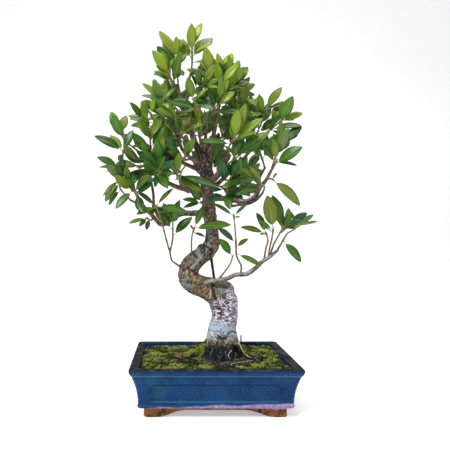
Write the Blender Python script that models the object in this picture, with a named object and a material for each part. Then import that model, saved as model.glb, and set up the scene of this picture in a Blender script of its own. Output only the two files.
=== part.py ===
"""A ficus bonsai with an S-shaped trunk in a blue glazed rectangular pot.

Metres, +Z up, +Y away from the viewer. Everything is modelled about the middle of the pot's footprint,
and the last step moves it so that the origin is the middle of the whole object's base.

Routes of wood are drawn on the front view: u runs to the right and v down, in steps of one 450th of the
view's width, and the third number is the depth in millimetres behind the pot's middle.
"""

import math

import bmesh
import bpy
import numpy as np
from mathutils import Vector
from mathutils.bvhtree import BVHTree

MM = 0.001

# The eye that the front view is drawn from
EYE = Vector((-0.0619, -0.7371, 0.2611))
VIEW_AXIS = (174.6, 243.7)
VIEW_FOCUS = 440.0

# Pot
POT_WIDTH = 0.260
POT_DEPTH = 0.195
POT_CORNER = 0.006
# how far the outside lies in from the rim's edge, and its height, from the foot of the wall to the rim
WALL_OUTSIDE = [(12.9, 16.5), (12.4, 19.7), (13.1, 23.0), (12.9, 29.1), (11.9, 37.3), (10.3, 45.6),
                (7.9, 54.2), (5.1, 62.0), (1.3, 68.0), (0.0, 72.0), (0.0, 75.0), (1.6, 76.5)]
WALL_INSIDE = [(12.2, 76.5), (13.5, 75.3), (14.2, 70.0), (16.0, 58.0), (18.6, 42.0), (20.4, 29.0), (22.5, 25.0)]
FLOOR_TOP = 0.025
PANEL_SINK = 0.0012
PANEL_Z = (0.0262, 0.0524)
PANEL_HALF_FRONT = 0.0985
PANEL_HALF_SIDE = 0.066
PANEL_CORNER = 0.009
FOOT_INSET = 0.0217
FOOT_WIDTH = 0.013
FOOT_TOP = 0.0175
ARCH_HEIGHT = 0.0108
ARCH_FRONT = (0.091, 0.0435)
ARCH_SIDE = (0.057, 0.026)
DRAIN_RADIUS = 0.011
DRAIN_X = 0.062
DRAIN_SIDES = 16
SCREEN_SIDE = 0.040
SCREEN_THICK = 0.0012
SCREEN_MESHES = 2
# the net's border as a share of a mesh's pitch, and half a mesh's opening
SCREEN_BORDER = 0.4
SCREEN_OPENING = 0.32
# how far a cutter runs past what it cuts
CUT_PAST = 0.01
DRAIN_CUT = (0.005, 0.04)
ARCH_STEPS = 5
ARCH_LIP = 0.0005
SEAT = 0.0003

# Soil
SOIL_EDGE = 0.0690
SOIL_CELLS = (9, 7)
SOIL_MOUND = 0.0055
MOUND_MIDDLE = (0.016, 0.0)
MOUND_REACH = 0.060
ABOVE_SOIL = 0.1
# the soil's two waves: heights in metres, turns per metre along X and Y, and the first one's start
SOIL_WAVES = (0.0007, 95, 110, 0.0005, 210, 160)
SOIL_WAVE_START = 1.3

# Trunk: u, v, depth, radius in mm
TRUNK = [
    (221.0, 346, 0, 24), (221.6, 337, 0, 24.5), (222, 330, 0, 23.3), (223.4, 322, 0, 21.9),
    (224.5, 314, 0, 22), (224.2, 306, 0, 23), (221.5, 298.5, -1, 24), (215, 292, -3, 21.5),
    (206, 288, -4, 19), (197, 285, -4, 18.4), (190.5, 279.5, -2, 17.8), (188.6, 271, 2, 17),
    (192, 263.5, 6, 16), (199, 257.5, 10, 15), (206, 252, 12, 14.6), (210.8, 246, 12, 14.2),
    (212, 238, 10, 12.2), (212, 229, 8, 10.4), (210.6, 221.5, 8, 10.9), (209, 213, 8, 11.4),
    (208.6, 206, 8, 11.6), (208.2, 197, 8, 10), (206.5, 188, 8, 10.6), (207.4, 180.5, 8, 10.4),
    (205.5, 170, 8, 12), (202.5, 161, 8, 12.5), (201.5, 153, 8, 9.5),
]
# middle u, v, depth, and half sizes in mm of the swellings
SWELLINGS = [
    (223.6, 291.5, -1, 18.5, 18, 17.5), (202.5, 161, 8, 15, 13, 12), (202, 249, 3, 8, 7, 9),
    (209.5, 216, 8, 12.5, 12, 7), (184, 267, 4, 9, 10, 8),
]
# height in mm, middle x in mm, radius in mm and depth of the ribs of the root flare
FLARE = [
    (46, 15.5, 24, 0.10), (56, 15.5, 31, 0.14), (66, 15.5, 35.5, 0.16), (73, 15.3, 35.5, 0.15),
    (80, 15.3, 33, 0.13), (90, 15.5, 29.5, 0.09), (103, 17.0, 26, 0.05), (117, 18.0, 23.3, 0.02),
]
FLARE_SIDES = 22
# times that a wave goes round, its turn and its weight
FLARE_WAVES = [(5, 0.6, 1.0), (8, 2.0, 0.5)]
FLARE_DEPTH = 0.96

# Branches: name, sides, then u, v, depth, radius in mm
BRANCHES = [
    ("air_root", 4, [(211.2, 258, 8, 2.6), (212.2, 265, 2, 2.4), (213.2, 272, -8, 2.3), (214.4, 279.6, -22, 2.3)]),
    ("left_leader", 6, [(201.5, 157, 8, 8.5), (196.5, 146, 8, 5.6), (192.5, 136, 8, 4.8), (189.5, 125, 8, 4.4),
                        (187.2, 114, 8, 4), (186.3, 104, 8, 3.6), (187.8, 92, 8, 3), (188.6, 82, 8, 2.4),
                        (190.5, 74, 8, 1.9)]),
    ("left_leader_fork", 4, [(186.6, 108, 8, 3), (182.5, 100, 9, 2.6), (179.4, 92, 10, 2.4),
                             (178.3, 85, 10, 1.9)]),
    ("right_leader", 4, [(204, 159, 8, 8), (211, 148, 7, 5), (212.8, 138, 5, 4), (215.2, 127, 2, 3.6),
                         (217.2, 117, 0, 3.2), (218.6, 110, 0, 2.8)]),
    ("middle_leader", 4, [(203, 152, 4, 5), (205.4, 140, -3, 3.2), (206.2, 130, -9, 2.7), (206.8, 124, -12, 2.3)]),
    ("upper_left", 4, [(203, 165, 4, 5), (195.5, 161, -6, 4), (186, 154, -15, 3.2), (180.5, 146, -18, 3),
                       (178.3, 137, -20, 2.8), (176.2, 124, -22, 2.5), (173.8, 111, -24, 2.3),
                       (170.8, 101, -25, 2)]),
    ("left_high", 4, [(203, 171, 10, 5), (192, 167, 22, 3.8), (180, 161, 26, 3.4), (171.5, 155, 24, 3),
                      (165.5, 148.5, 20, 2.8), (161, 141, 14, 2.5), (161, 134, 8, 2.1)]),
    ("left_main", 4, [(205, 195, 6, 6), (194, 191.3, -2, 4.6), (182, 188.6, -10, 4), (170.5, 184, -16, 3.6),
                      (160.5, 178, -20, 3.4), (152.5, 171.3, -22, 3.2), (147, 163.8, -24, 2.8),
                      (142.5, 156.5, -26, 2.5), (137.5, 150.8, -27, 2.1)]),
    ("left_low", 6, [(208, 213, 4, 6), (194, 213.3, -6, 5), (182, 213.4, -14, 4.9), (173.5, 217, -20, 5),
                     (166, 221.8, -24, 4.6)]),
    ("left_low_turn", 4, [(167.5, 223, -24, 3.6), (163.3, 226.3, -26, 3.7), (157.3, 221.2, -28, 3.4),
                          (151, 214, -29, 3.3), (143.4, 206.5, -29, 3), (137.8, 197, -28, 2.8),
                          (133, 187.5, -28, 2.6), (127.4, 177.5, -31, 2.4), (123, 170.7, -34, 2.1)]),
    ("left_low_outer", 4, [(142.5, 205.5, -29, 2.4), (137, 205, -30, 2.1), (131, 200.5, -32, 1.9)]),
    ("left_low_riser", 4, [(152, 215, -29, 2.9), (153.6, 204, -26, 2.5), (153.3, 194, -22, 2.3),
                           (151.3, 182, -14, 2.2), (150.4, 175, -12, 1.9)]),
    ("limb_twig", 4, [(184, 269, 0, 3), (178, 265, -14, 1.8), (171.3, 259.5, -22, 1.6), (169.6, 251, -26, 1.6),
                      (166.8, 241.5, -32, 1.5), (164.4, 232, -38, 1.4)]),
    ("right_top", 6, [(208, 184, 4, 6.5), (217.5, 175.5, -4, 5.2), (222.4, 167, -9, 4.8), (226, 158, -14, 4.2),
                      (227.8, 150.5, -19, 3.2)]),
    ("right_middle", 4, [(208, 190, 10, 6), (218.5, 183, 14, 4), (228, 174, 18, 3.4), (236, 166, 20, 3),
                         (244, 158, 18, 2.8), (251, 150, 12, 2.4), (256.5, 142, 6, 2)]),
    ("right_main", 6, [(209, 199, 2, 6), (220, 198.2, -8, 4.8), (230, 199.6, -15, 4.5), (240.5, 200.9, -20, 4.5),
                       (249.5, 201.2, -24, 4.6), (254.5, 197.5, -26, 4.4), (257.8, 190, -27, 3.9),
                       (263.5, 183.6, -29, 3.4), (268, 177, -29, 2.9), (270.8, 171, -28, 2.4)]),
    ("right_main_inner", 4, [(256, 195, -26, 3.2), (257.5, 185, -18, 2.4), (260.5, 176, -12, 2.2),
                             (264.8, 168, -9, 1.9)]),
    ("right_under", 4, [(228.5, 199.5, -14, 3), (229.3, 205.5, -18, 2.4), (238, 204.8, -26, 2.4),
                        (248.5, 203.6, -33, 2.4), (257, 199.5, -37, 2.2), (262.5, 193, -39, 1.9)]),
    ("right_low", 6, [(202, 288, -12, 6), (208, 282.6, -21, 4.8), (216, 280.6, -25, 4.2), (225, 279, -26, 3.9),
                      (232, 277.2, -26, 3.8), (238, 274, -26, 3.8), (246.5, 274, -26, 3.9),
                      (252.5, 270.6, -26, 3.7), (259, 264.8, -27, 3.5), (265, 258.8, -28, 3.3),
                      (273, 255.3, -29, 2.7), (277.2, 250.5, -30, 2.3)]),
]
BRANCH_STEP = 0.016
TRUNK_STEP = 0.013
TRUNK_SIDES = 10

# Roots that run over the soil and down into it
ROOTS = [
    [(234, 342, -12, 6), (243, 350, -24, 3.6), (252, 358.5, -34, 2.8), (262, 368, -46, 2.2)],
    [(222, 354, -30, 6), (218, 364, -44, 3.6), (212, 374, -58, 2.6)],
    [(207, 345, -6, 7), (198, 351.5, -8, 4.4), (188, 359.5, -6, 3)],
    [(226, 343, 18, 7), (232, 346.5, 38, 4), (239, 351, 58, 2.8)],
    [(212, 344, 18, 7), (203, 347.6, 38, 4), (193, 352.5, 60, 2.8)],
]
ROOT_STEP = 0.012
ROOT_SIDES = 6
ROOT_GAP = 0.0004
WELD = 1e-6

# A leaf: shares of its length and width, and thicknesses in metres
LEAF_WIDTH = 0.48
LEAF_THICK = 0.0013
STALK_RADIUS = 0.00065
STALK_SHARE = 0.17
STALK_MOST = 0.008
# share of the blade's length, share of its half width
BLADE = [(0.26, 0.92), (0.64, 0.90)]
BLADE_BOW = 0.05
STALK_TESTED_FROM = 0.003
LEAF_ROOM = 0.0005
WOOD_ROOM = 0.0006
# the length of the leaves that the rule adds, where the first grows, and how far they lean out in degrees
GROWN_LEAF = 0.048
FIRST_LEAF = 0.2
LEAN_LOW = 66
LEAN_TIP = 28
# the crown's middle lies this far behind the pot's, and leaves reach less far in depth by this share
CROWN_DEPTH = 0.022
FANNED = 0.6
# the way that a blade faces: its sway aside and how fast that turns, towards the viewer, up, and outwards
FACING_SWAY = 0.4
SWAY_TURN = 9
FACING_FRONT = 0.8
FACING_UP = 0.5
FACING_OUT = 0.25
# a drawn leaf faces the viewer and up, and rolls aside by these shares until it is clear
SHOWN_UP = 0.75
SHOWN_ROLLS = (0, 0.5, -0.5)
ROLLED_UP = 0.3
# the turn between shoots, the lift of the leaves, and how their length and width vary along a shoot
SHOOT_TURN = 1.7
LEAF_LIFT = 0.12
LOWEST_LENGTH = 1.08
LENGTH_FALL = 0.22
LENGTH_SWAY = 0.1
WIDTH_SWAY = 0.08
SHARE_AROUND = 0.1
EDGE_ON = 0.93
GOLDEN_TURN = math.radians(137.5)
# millimetres that a drawn leaf's tip is moved in depth until the leaf is clear
DEPTH_TRIES = (0, -6, 6, -12, 12, -18, 18, -26, 26, 34, -34)
# turns in degrees, shares of the length and more lean in degrees that a leaf tries until it is clear
LEAF_TRIES = [(0, 1, 0), (25, 1, 0), (-25, 1, 0), (50, .95, 8), (-50, .95, -8), (85, .9, 0), (-85, .9, 10),
              (125, .85, 0), (-125, .85, -10), (180, .8, 0), (20, .65, 20), (-60, .6, -15)]

# Shoots: name, route (u, v, depth), leaves shown (share of the route, tip u, v, depth, width share), more leaves
SHOOTS = [
    ("apex", [(190.5, 74, 8), (192, 64, 7), (192, 55, 5), (191.8, 47, 4)],
     [(1, 201.7, 23, 0, .42), (.8, 180, 40.5, -6, .36), (.88, 205.5, 38.5, 8, .34), (.7, 213.5, 43.5, -12, .36),
      (.55, 212.5, 38, 28, .42), (.3, 203.5, 62.5, -16, .4)], 3),
    ("apex_left", [(178.3, 85, 10), (177.4, 75, 10), (176.6, 66, 8), (176.3, 58, 6)],
     [(1, 159.2, 31, 8, .4), (1, 176.3, 36.3, -8, .46), (.7, 188, 53, 2, .4), (.5, 183.5, 76, -18, .4)], 4),
    ("left_crest", [(181, 96, 9), (174.5, 87, 2), (171, 79, -4), (168.6, 71, -6)],
     [(1, 161.5, 51, -12, .44), (.7, 161.8, 70.3, 4, .4), (.45, 163, 79, -24, .4), (.6, 152.5, 74, -14, .3)], 4),
    ("leader_left_side", [(186.5, 112, 8), (180, 112, 24), (175, 107, 34), (172, 100, 40)], [], 6),
    ("leader_right_side", [(188, 97, 8), (194, 92, 2), (199, 88, -6), (203, 86, -12)],
     [(.9, 197.3, 71, -22, .45), (.5, 190.5, 73, -22, .4), (1, 213, 91, -30, .4)], 3),
    ("crest_middle", [(218.4, 111, 0), (216.8, 98, -5), (214.6, 86, -6), (212, 76, -6)],
     [(1, 210, 52, -10, .4), (.9, 218.5, 83, -18, .26), (.75, 204.5, 96, -20, .3)], 4),
    ("crest_right_in", [(218.6, 110, 0), (221.6, 99, 4), (223.2, 88, 5), (222.6, 77, 5)],
     [(1, 217, 53, 2, .36), (.9, 213.8, 66, 12, .4), (.85, 229, 65.5, 12, .4), (.2, 226.2, 87, -16, .4),
      (.1, 213, 97, 12, .4)], 4),
    ("crest_right", [(219, 112, 0), (226.5, 104, 8), (231.2, 94, 12), (232.8, 80, 12)],
     [(1, 233.7, 62.5, 10, .42), (.95, 249.5, 70, 6, .34), (.7, 244, 83, 0, .3), (.45, 238, 96, -10, .34)], 4),
    ("front_top", [(206.8, 125, -12), (204.5, 116.5, -28), (199.5, 109, -40), (193.5, 101, -46)],
     [(1, 208, 88.5, -52, .34), (.85, 213.5, 109.5, -64, .5), (.2, 204.5, 110, -30, .34), (.7, 186, 112, -52, .4)],
     2),
    ("middle_top", [(206.8, 124, -12), (210, 117, -14), (213.2, 109, -18), (213.8, 103, -20)],
     [(1, 213.5, 83, -26, .36), (.8, 221.5, 92, -28, .4), (.5, 203, 103, -4, .4)], 1),
    ("head_back", [(201, 153, 14), (200, 142, 34), (198, 130, 50), (197, 120, 60)], [], 6),
    ("back_right", [(211, 148, 10), (219, 140, 34), (226, 131, 52), (231, 121, 62)], [], 6),
    ("back_left", [(197, 147, 12), (186, 141, 36), (177, 133, 52), (170, 125, 60)], [], 6),
    ("back_middle", [(208, 180, 16), (210, 171, 44), (212, 161, 66), (213, 150, 80)], [], 8),
    ("back_low_right", [(222, 179, 16), (233, 181, 42), (242, 178, 62), (250, 172, 74)], [], 6),
    ("back_low_left", [(186, 165, 26), (180, 172, 52), (172, 174, 70), (163, 170, 82)], [], 6),
    ("crest_far_right", [(250, 151.5, 13), (255, 138, 20), (262.2, 121, 10), (265.4, 109.5, -2)],
     [(1, 281.7, 87, -8, .4), (1, 290.3, 102.3, -14, .34), (.95, 245, 98, 6, .34), (.9, 252, 116, -24, .4),
      (.85, 272, 113, -22, .44)], 4),
    ("right_fan", [(249, 152, 14), (246, 138, 22), (243, 122, 22), (241, 108, 18)], [(1, 237, 94, 4, .4)], 6),
    ("right_crown_tip", [(256.5, 142, 6), (265, 134, 0), (273.5, 127, -6), (281.5, 120.5, -10)],
     [(1, 281.5, 100.5, -14, .44), (1, 294.7, 120, -8, .36), (.95, 289, 111.5, 8, .3), (.5, 284, 137, -16, .34)],
     5),
    ("right_shoulder", [(270.8, 171, -28), (274.2, 161, -28), (277.5, 151.5, -26), (281.5, 144, -24)],
     [(1, 298.3, 135.2, -22, .3), (.9, 289, 144.5, -36, .36), (.85, 272.5, 133.5, -32, .46),
      (.6, 262.5, 139.5, -26, .4)], 4),
    ("right_arm", [(269.5, 174, -29), (273.5, 167.5, -35), (276.5, 161, -38)],
     [(1, 298, 150.7, -40, .42), (.9, 297, 165.5, -30, .3), (.8, 261, 145.5, -46, .5)], 2),
    ("right_inner", [(264.8, 168, -9), (262.5, 160, -4), (259.5, 152, 2)],
     [(1, 247.5, 141.5, 4, .42), (.8, 251, 166, -18, .4)], 5),
    ("right_hanging", [(266.5, 179.5, -29), (270, 178.6, -40), (273, 179.6, -46)],
     [(1, 299.8, 205.8, -52, .4), (.8, 277.2, 172.5, -44, .4)], 0),
    ("right_under_leaves", [(262.5, 193, -39), (264.6, 187.5, -45), (262.8, 185.5, -50)],
     [(1, 249.5, 166.5, -56, .38), (.9, 240.5, 168.5, -70, .5), (.6, 236, 195, -48, .4)], 1),
    ("right_front", [(227.8, 150.5, -19), (230.4, 144, -30), (234.5, 139.5, -40)],
     [(.75, 231.8, 122.8, -46, .5), (1, 246.2, 103.5, -52, .36), (1, 263, 118.5, -44, .38),
      (1, 257, 132.5, -66, .4), (.4, 201, 141.5, -48, .36)], 2),
    ("right_front_low", [(222.6, 166.5, -9), (229, 163, -24), (236, 158, -34), (242, 152, -38)],
     [(1, 270, 132, -54, .44), (.9, 241, 170, -44, .4), (.7, 224, 146, -44, .4)], 4),
    ("trunk_right", [(210, 182, 8), (222, 187.5, -4), (226.5, 191, -14)],
     [(1, 239.5, 181, -22, .4), (.9, 237.5, 186.5, -34, .3), (.7, 212.5, 192, -36, .3)], 4),
    ("trunk_front_left", [(184, 189.2, -9), (180, 182, -26), (177.5, 175.5, -38)],
     [(1, 201, 191.5, -56, .5), (1, 219, 188, -66, .24), (.8, 172, 164.5, -36, .44)], 2),
    ("left_arch", [(179.5, 143, -19), (180.6, 136.5, -30), (181.2, 133, -36)],
     [(1, 203, 124.3, -46, .36), (.9, 187.6, 132.8, -30, .5), (.8, 173, 135, -22, .4)], 2),
    ("left_bright", [(176.6, 126.5, -22), (176.8, 120.5, -34), (176.8, 118, -40)],
     [(1, 165.3, 124, -50, .34), (1, 187.2, 121, -50, .34), (.8, 170.5, 107.5, -36, .4)], 3),
    ("left_broad", [(192, 159, -9), (186, 160, -24), (183.4, 159.6, -32)],
     [(1, 194.8, 138.5, -48, .56), (1, 167, 151, -42, .38), (.8, 168, 142, -24, .2)], 3),
    ("left_high_tip", [(161, 134, 8), (162.6, 127, -4), (164, 119, -12), (163.6, 114, -18)],
     [(1, 152.8, 134.5, -34, .44), (1, 147.3, 120.5, -16, .44), (.95, 170.5, 112.5, -24, .4)], 3),
    ("upper_left_tip", [(170.8, 101, -25), (167, 97.5, -33), (162.6, 101.5, -40)],
     [(1, 142, 83.3, -48, .42), (.95, 141.3, 95.3, -30, .34), (.6, 156.5, 89, -22, .34), (.8, 175, 88, -36, .4)],
     3),
    ("upper_left_low", [(161, 140, 13), (156.5, 127, -8), (152.5, 118.5, -28), (150.8, 114, -34)],
     [(1, 154.6, 98.3, -38, .44), (.95, 144.6, 108, -42, .5), (.5, 166, 104.5, -12, .4)], 2),
    ("left_upright", [(150.4, 175, -12), (150.7, 163, -8), (150.8, 150, -20), (150.2, 140, -32)],
     [(1, 137, 119.2, -44, .5), (.75, 131.3, 146.8, -48, .36), (.55, 160.5, 137.5, -46, .4),
      (.9, 153, 124, -26, .44), (.3, 133, 163, -44, .36)], 3),
    ("left_end", [(137.5, 150.8, -27), (130, 145, -30), (124.4, 140, -32), (120.5, 133.5, -32)],
     [(1, 126.5, 115.4, -34, .66), (.5, 124.5, 133.4, -12, .34)], 2),
    ("left_tip", [(123, 170.7, -34), (122.6, 160, -37), (123.4, 151, -40)],
     [(1, 94.5, 136, -44, .44), (1, 110.3, 135.2, -26, .4), (.85, 118.7, 160.8, -54, .5)], 1),
    ("left_arched", [(124, 172.3, -33.5), (121.5, 168, -41), (119.5, 167.3, -43)],
     [(1, 99, 167.3, -50, .3), (.9, 105.3, 171.7, -30, .24)], 1),
    ("left_hanging", [(131, 200.5, -32), (124.5, 194, -36), (119.8, 187.5, -40), (120.3, 179, -42)],
     [(1, 103, 196, -54, .24), (.85, 105, 201.5, -40, .5), (.5, 108.5, 205.5, -26, .36), (.7, 128, 177, -46, .3)],
     1),
    ("left_drooping", [(136, 193, -28), (134, 191.3, -40), (132.2, 190.4, -46)], [(1, 115.8, 208.8, -58, .42)], 2),
    ("left_under", [(148.2, 164.6, -24), (143, 166, -34), (139, 167, -38)],
     [(1, 126, 163, -50, .4), (1, 133, 184.5, -48, .5), (.7, 142, 186, -30, .4)], 4),
    ("left_middle", [(161, 178.4, -20), (158.6, 174.5, -32), (157.8, 171.5, -38)],
     [(1, 165, 156.3, -46, .56), (1, 169.5, 180.5, -52, .36), (.8, 155, 187.5, -40, .4)], 4),
    ("limb_shoot", [(164.4, 232, -38), (160.8, 219, -43), (157.8, 210.5, -46), (155.8, 206, -48)],
     [(1, 136.7, 191.3, -54, .3), (1, 173.6, 188, -54, .26), (1, 188, 213, -62, .36), (.95, 136.3, 214.7, -66, .42),
      (.7, 172, 211.5, -34, .44)], 0),
    ("limb_side_shoot", [(169.8, 252, -26), (172.4, 241, -26), (172.8, 228, -30), (172.5, 219, -36)],
     [(1, 180, 199.8, -40, .4), (.95, 163, 203, -46, .4)], 4),
    ("left_low_shoot", [(153, 216.5, -28), (151.2, 220.5, -40), (147, 218.2, -48)],
     [(1, 128.6, 223.5, -54, .34), (1, 139, 226.5, -60, .4), (.6, 146.6, 230, -48, .5)], 0),
    ("limb_riser", [(192, 258, 4), (191.5, 247, -10), (192, 236, -18), (194.4, 228, -24)],
     [(1, 204, 205.3, -30, .34), (1, 231.2, 225.2, -58, .34), (.9, 190.3, 224.6, -14, .3), (.85, 205, 237, -36, .3)],
     0),
    ("trunk_left", [(206, 205, 2), (203.4, 203.6, -16), (201.6, 202.6, -24)],
     [(1, 182.6, 199.6, -38, .42), (1, 183.2, 207.6, -26, .36)], 2),
    ("right_low_riser", [(240.5, 273.6, -26), (241.2, 266, -27), (236.6, 256, -27), (236, 244, -27),
                         (235.2, 230, -27), (233.9, 216, -27)],
     [(1, 212.8, 203.3, -34, .26), (1, 247.5, 203.6, -36, .28), (.97, 240.3, 216.8, -24, .4),
      (.42, 248.6, 238.6, -36, .42), (.3, 261.5, 266.2, -50, .28), (.5, 217.6, 228, -40, .38)], 0),
    ("right_low_front", [(217.5, 280.4, -25), (224, 272.6, -32), (229.8, 264.5, -36), (232.8, 256.5, -40)],
     [(1, 218.3, 238.8, -50, .5)], 0),
    ("right_low_twig", [(264, 259.8, -28), (266, 248, -32), (268, 240.5, -34), (266, 233, -34)],
     [(1, 240.3, 227.2, -40, .34), (.95, 259.6, 234.6, -50, .3)], 1),
    ("right_low_cross", [(268.5, 257, -28), (269.6, 248.5, -38), (272, 238, -44), (273.2, 229.5, -48)],
     [(1, 267, 195.4, -58, .56), (.98, 257.6, 220.6, -58, .34), (.9, 260.3, 226.8, -66, .42)], 0),
    ("right_low_fork", [(270, 256.4, -28), (273.4, 245.2, -29), (278.6, 235.5, -32), (283, 227.5, -34)],
     [(1, 272, 195, -40, .4), (1, 273.6, 213.6, -60, .5), (1, 291.6, 214.2, -48, .5), (.8, 291, 220, -20, .4)], 0),
    ("right_low_end", [(277.2, 250.5, -30), (282.4, 241.5, -31), (287.4, 233.4, -33), (293, 230.4, -36),
                       (297, 226, -38)],
     [(1, 318, 221.3, -44, .24), (1, 313.5, 214.5, -34, .3), (.93, 291.6, 212, -30, .24),
      (.25, 301, 262.3, -44, .42), (.9, 289, 224.6, -50, .2)], 0),
]
SHOOT_RADIUS = 0.0014
SHOOT_TIP_RADIUS = 0.0010
SHOOT_STEP = 0.016
SHOOT_SIDES = 4
FINE_STEP = 0.003
# the part of a shoot's route that may lie in its branch, and how closely its seat there is looked for
BASE_LENGTH = 0.008
SEAT_STEP = 0.0001
SEAT_SIDES = 8

PARTS = bpy.data.collections.new("ficus_bonsai")
CUTTERS = bpy.data.collections.new("cutters")


def clear_scene():
    """An empty scene with one collection for the parts and a hidden one for what cuts or joins them."""
    for obj in list(bpy.data.objects):
        bpy.data.objects.remove(obj, do_unlink=True)
    bpy.context.scene.collection.children.link(PARTS)
    bpy.context.scene.collection.children.link(CUTTERS)


def make_material(name, colour, roughness):
    material = bpy.data.materials.new(name)
    material.use_nodes = True
    shader = material.node_tree.nodes["Principled BSDF"]
    shader.inputs["Base Color"].default_value = (*colour, 1)
    shader.inputs["Roughness"].default_value = roughness
    shader.inputs["Metallic"].default_value = 0
    return material


def working_object(name, mesh):
    """A mesh object in the cutters' collection, hidden from the build until it is published."""
    obj = bpy.data.objects.new(name, mesh)
    obj.hide_render = True
    obj.display_type = "WIRE"
    CUTTERS.objects.link(obj)
    return obj


def new_object(name, points, faces):
    """A working object of these points and faces."""
    mesh = bpy.data.meshes.new(name)
    mesh.from_pydata([tuple(p) for p in points], [], [tuple(f) for f in faces])
    return working_object(name, mesh)


def finished(name, shape):
    """A working object of a bmesh, with its faces pointing out."""
    bmesh.ops.recalc_face_normals(shape, faces=shape.faces)
    mesh = bpy.data.meshes.new(name)
    shape.to_mesh(mesh)
    shape.free()
    return working_object(name, mesh)


def remove(obj):
    bpy.data.objects.remove(obj, do_unlink=True)


def publish(obj, material):
    """Moves a finished piece to the parts' collection."""
    CUTTERS.objects.unlink(obj)
    PARTS.objects.link(obj)
    obj.hide_render = False
    obj.display_type = "TEXTURED"
    obj.data.materials.clear()
    obj.data.materials.append(material)
    return obj


def evaluated_mesh(obj):
    bpy.context.view_layer.update()
    return bpy.data.meshes.new_from_object(obj.evaluated_get(bpy.context.evaluated_depsgraph_get()))


def combine(obj, others, operation):
    """Applies one Boolean between the object and a collection of others, which are then removed."""
    if not others:
        return obj
    operands = bpy.data.collections.new("operands")
    for other in others:
        operands.objects.link(other)
    boolean = obj.modifiers.new("combine", "BOOLEAN")
    boolean.operand_type = "COLLECTION"
    boolean.collection = operands
    boolean.operation = operation
    boolean.solver = "EXACT"
    mesh = evaluated_mesh(obj)
    obj.modifiers.clear()
    obj.data = mesh
    for other in others:
        remove(other)
    bpy.data.collections.remove(operands)
    return obj


def islands(shape):
    """The sets of faces of a bmesh that hang together."""
    left = set(shape.faces)
    while left:
        group = [left.pop()]
        for face in group:
            for edge in face.edges:
                for other in edge.link_faces:
                    if other in left:
                        left.remove(other)
                        group.append(other)
        yield group


def signed_volume(faces):
    """Six times the volume inside the faces, negative where they bound a hollow."""
    total = 0.0
    for face in faces:
        first = face.verts[0].co
        for a, b in zip(face.verts[1:], face.verts[2:]):
            total += first.dot(a.co.cross(b.co))
    return total


def fill_hollows(obj):
    """Fills what joining leaves has sealed, by removing the skins that bound a hollow."""
    shape = bmesh.new()
    shape.from_mesh(obj.data)
    inner = [face for group in islands(shape) if signed_volume(group) < 0 for face in group]
    bmesh.ops.delete(shape, geom=inner, context="FACES")
    shape.to_mesh(obj.data)
    shape.free()


def box(name, low, high):
    """A box between two corners, from a unit cube."""
    shape = bmesh.new()
    bmesh.ops.create_cube(shape, size=1)
    size = Vector(high) - Vector(low)
    middle = (Vector(high) + Vector(low)) / 2
    for vertex in shape.verts:
        vertex.co = Vector([c * s for c, s in zip(vertex.co, size)]) + middle
    return finished(name, shape)


def cylinder(name, middle, radius, low, high, sides):
    """An upright cylinder between two heights."""
    shape = bmesh.new()
    bmesh.ops.create_cone(shape, cap_ends=True, segments=sides, radius1=radius, radius2=radius, depth=high - low)
    for vertex in shape.verts:
        vertex.co += Vector((middle[0], middle[1], (high + low) / 2))
    return finished(name, shape)


def rounded_rectangle(half_x, half_y, corner, steps=2):
    """Points anticlockwise round a rectangle with round corners, as arcs."""
    points = []
    for quarter, (sx, sy) in enumerate([(1, 1), (-1, 1), (-1, -1), (1, -1)]):
        for k in range(steps + 1):
            angle = math.pi / 2 * (quarter + k / steps)
            points.append((sx * (half_x - corner) + corner * math.cos(angle),
                           sy * (half_y - corner) + corner * math.sin(angle)))
    return points


def loft(name, rings):
    """A closed skin over rings of equally many points, with its first and last ring capped."""
    count = len(rings[0])
    points = [p for ring in rings for p in ring]
    faces = [list(range(count))[::-1]]
    for k in range(len(rings) - 1):
        for i in range(count):
            j = (i + 1) % count
            faces.append([k * count + i, k * count + j, (k + 1) * count + j, (k + 1) * count + i])
    last = (len(rings) - 1) * count
    faces.append([last + i for i in range(count)])
    return new_object(name, points, faces)


def wall_ring(setback, height):
    """The pot's outline at a height in metres, this far in from the rim's edge."""
    outline = rounded_rectangle(POT_WIDTH / 2 - setback, POT_DEPTH / 2 - setback, POT_CORNER)
    return [(x, y, height) for x, y in outline]


def extruded_outline(name, outline, axis, reach):
    """A flat outline (across, up) extruded both ways along X or Y."""
    def place(across, up, along):
        return (along, across, up) if axis == "X" else (across, along, up)
    rough = loft(name, [[place(a, u, side * reach) for a, u in outline] for side in (-1, 1)])
    shape = bmesh.new()
    shape.from_mesh(rough.data)
    remove(rough)
    return finished(name, shape)


def panel_outline(half, low, high):
    middle = (low + high) / 2
    return [(a, middle + u) for a, u in rounded_rectangle(half, (high - low) / 2, PANEL_CORNER, 4)]


def arch_outline(mouth, top):
    """The opening under the apron: a flat top that sweeps down to the mouth on both sides."""
    half = [(mouth, -CUT_PAST), (mouth, ARCH_LIP)]
    for k in range(1, ARCH_STEPS):
        share = k / ARCH_STEPS
        rise = ARCH_HEIGHT * (1 - math.cos(math.pi * share)) / 2
        half.append((mouth + (top - mouth) * share, rise + ARCH_LIP))
    half.append((top, ARCH_HEIGHT))
    return half + [(-a, u) for a, u in reversed(half)]


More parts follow.
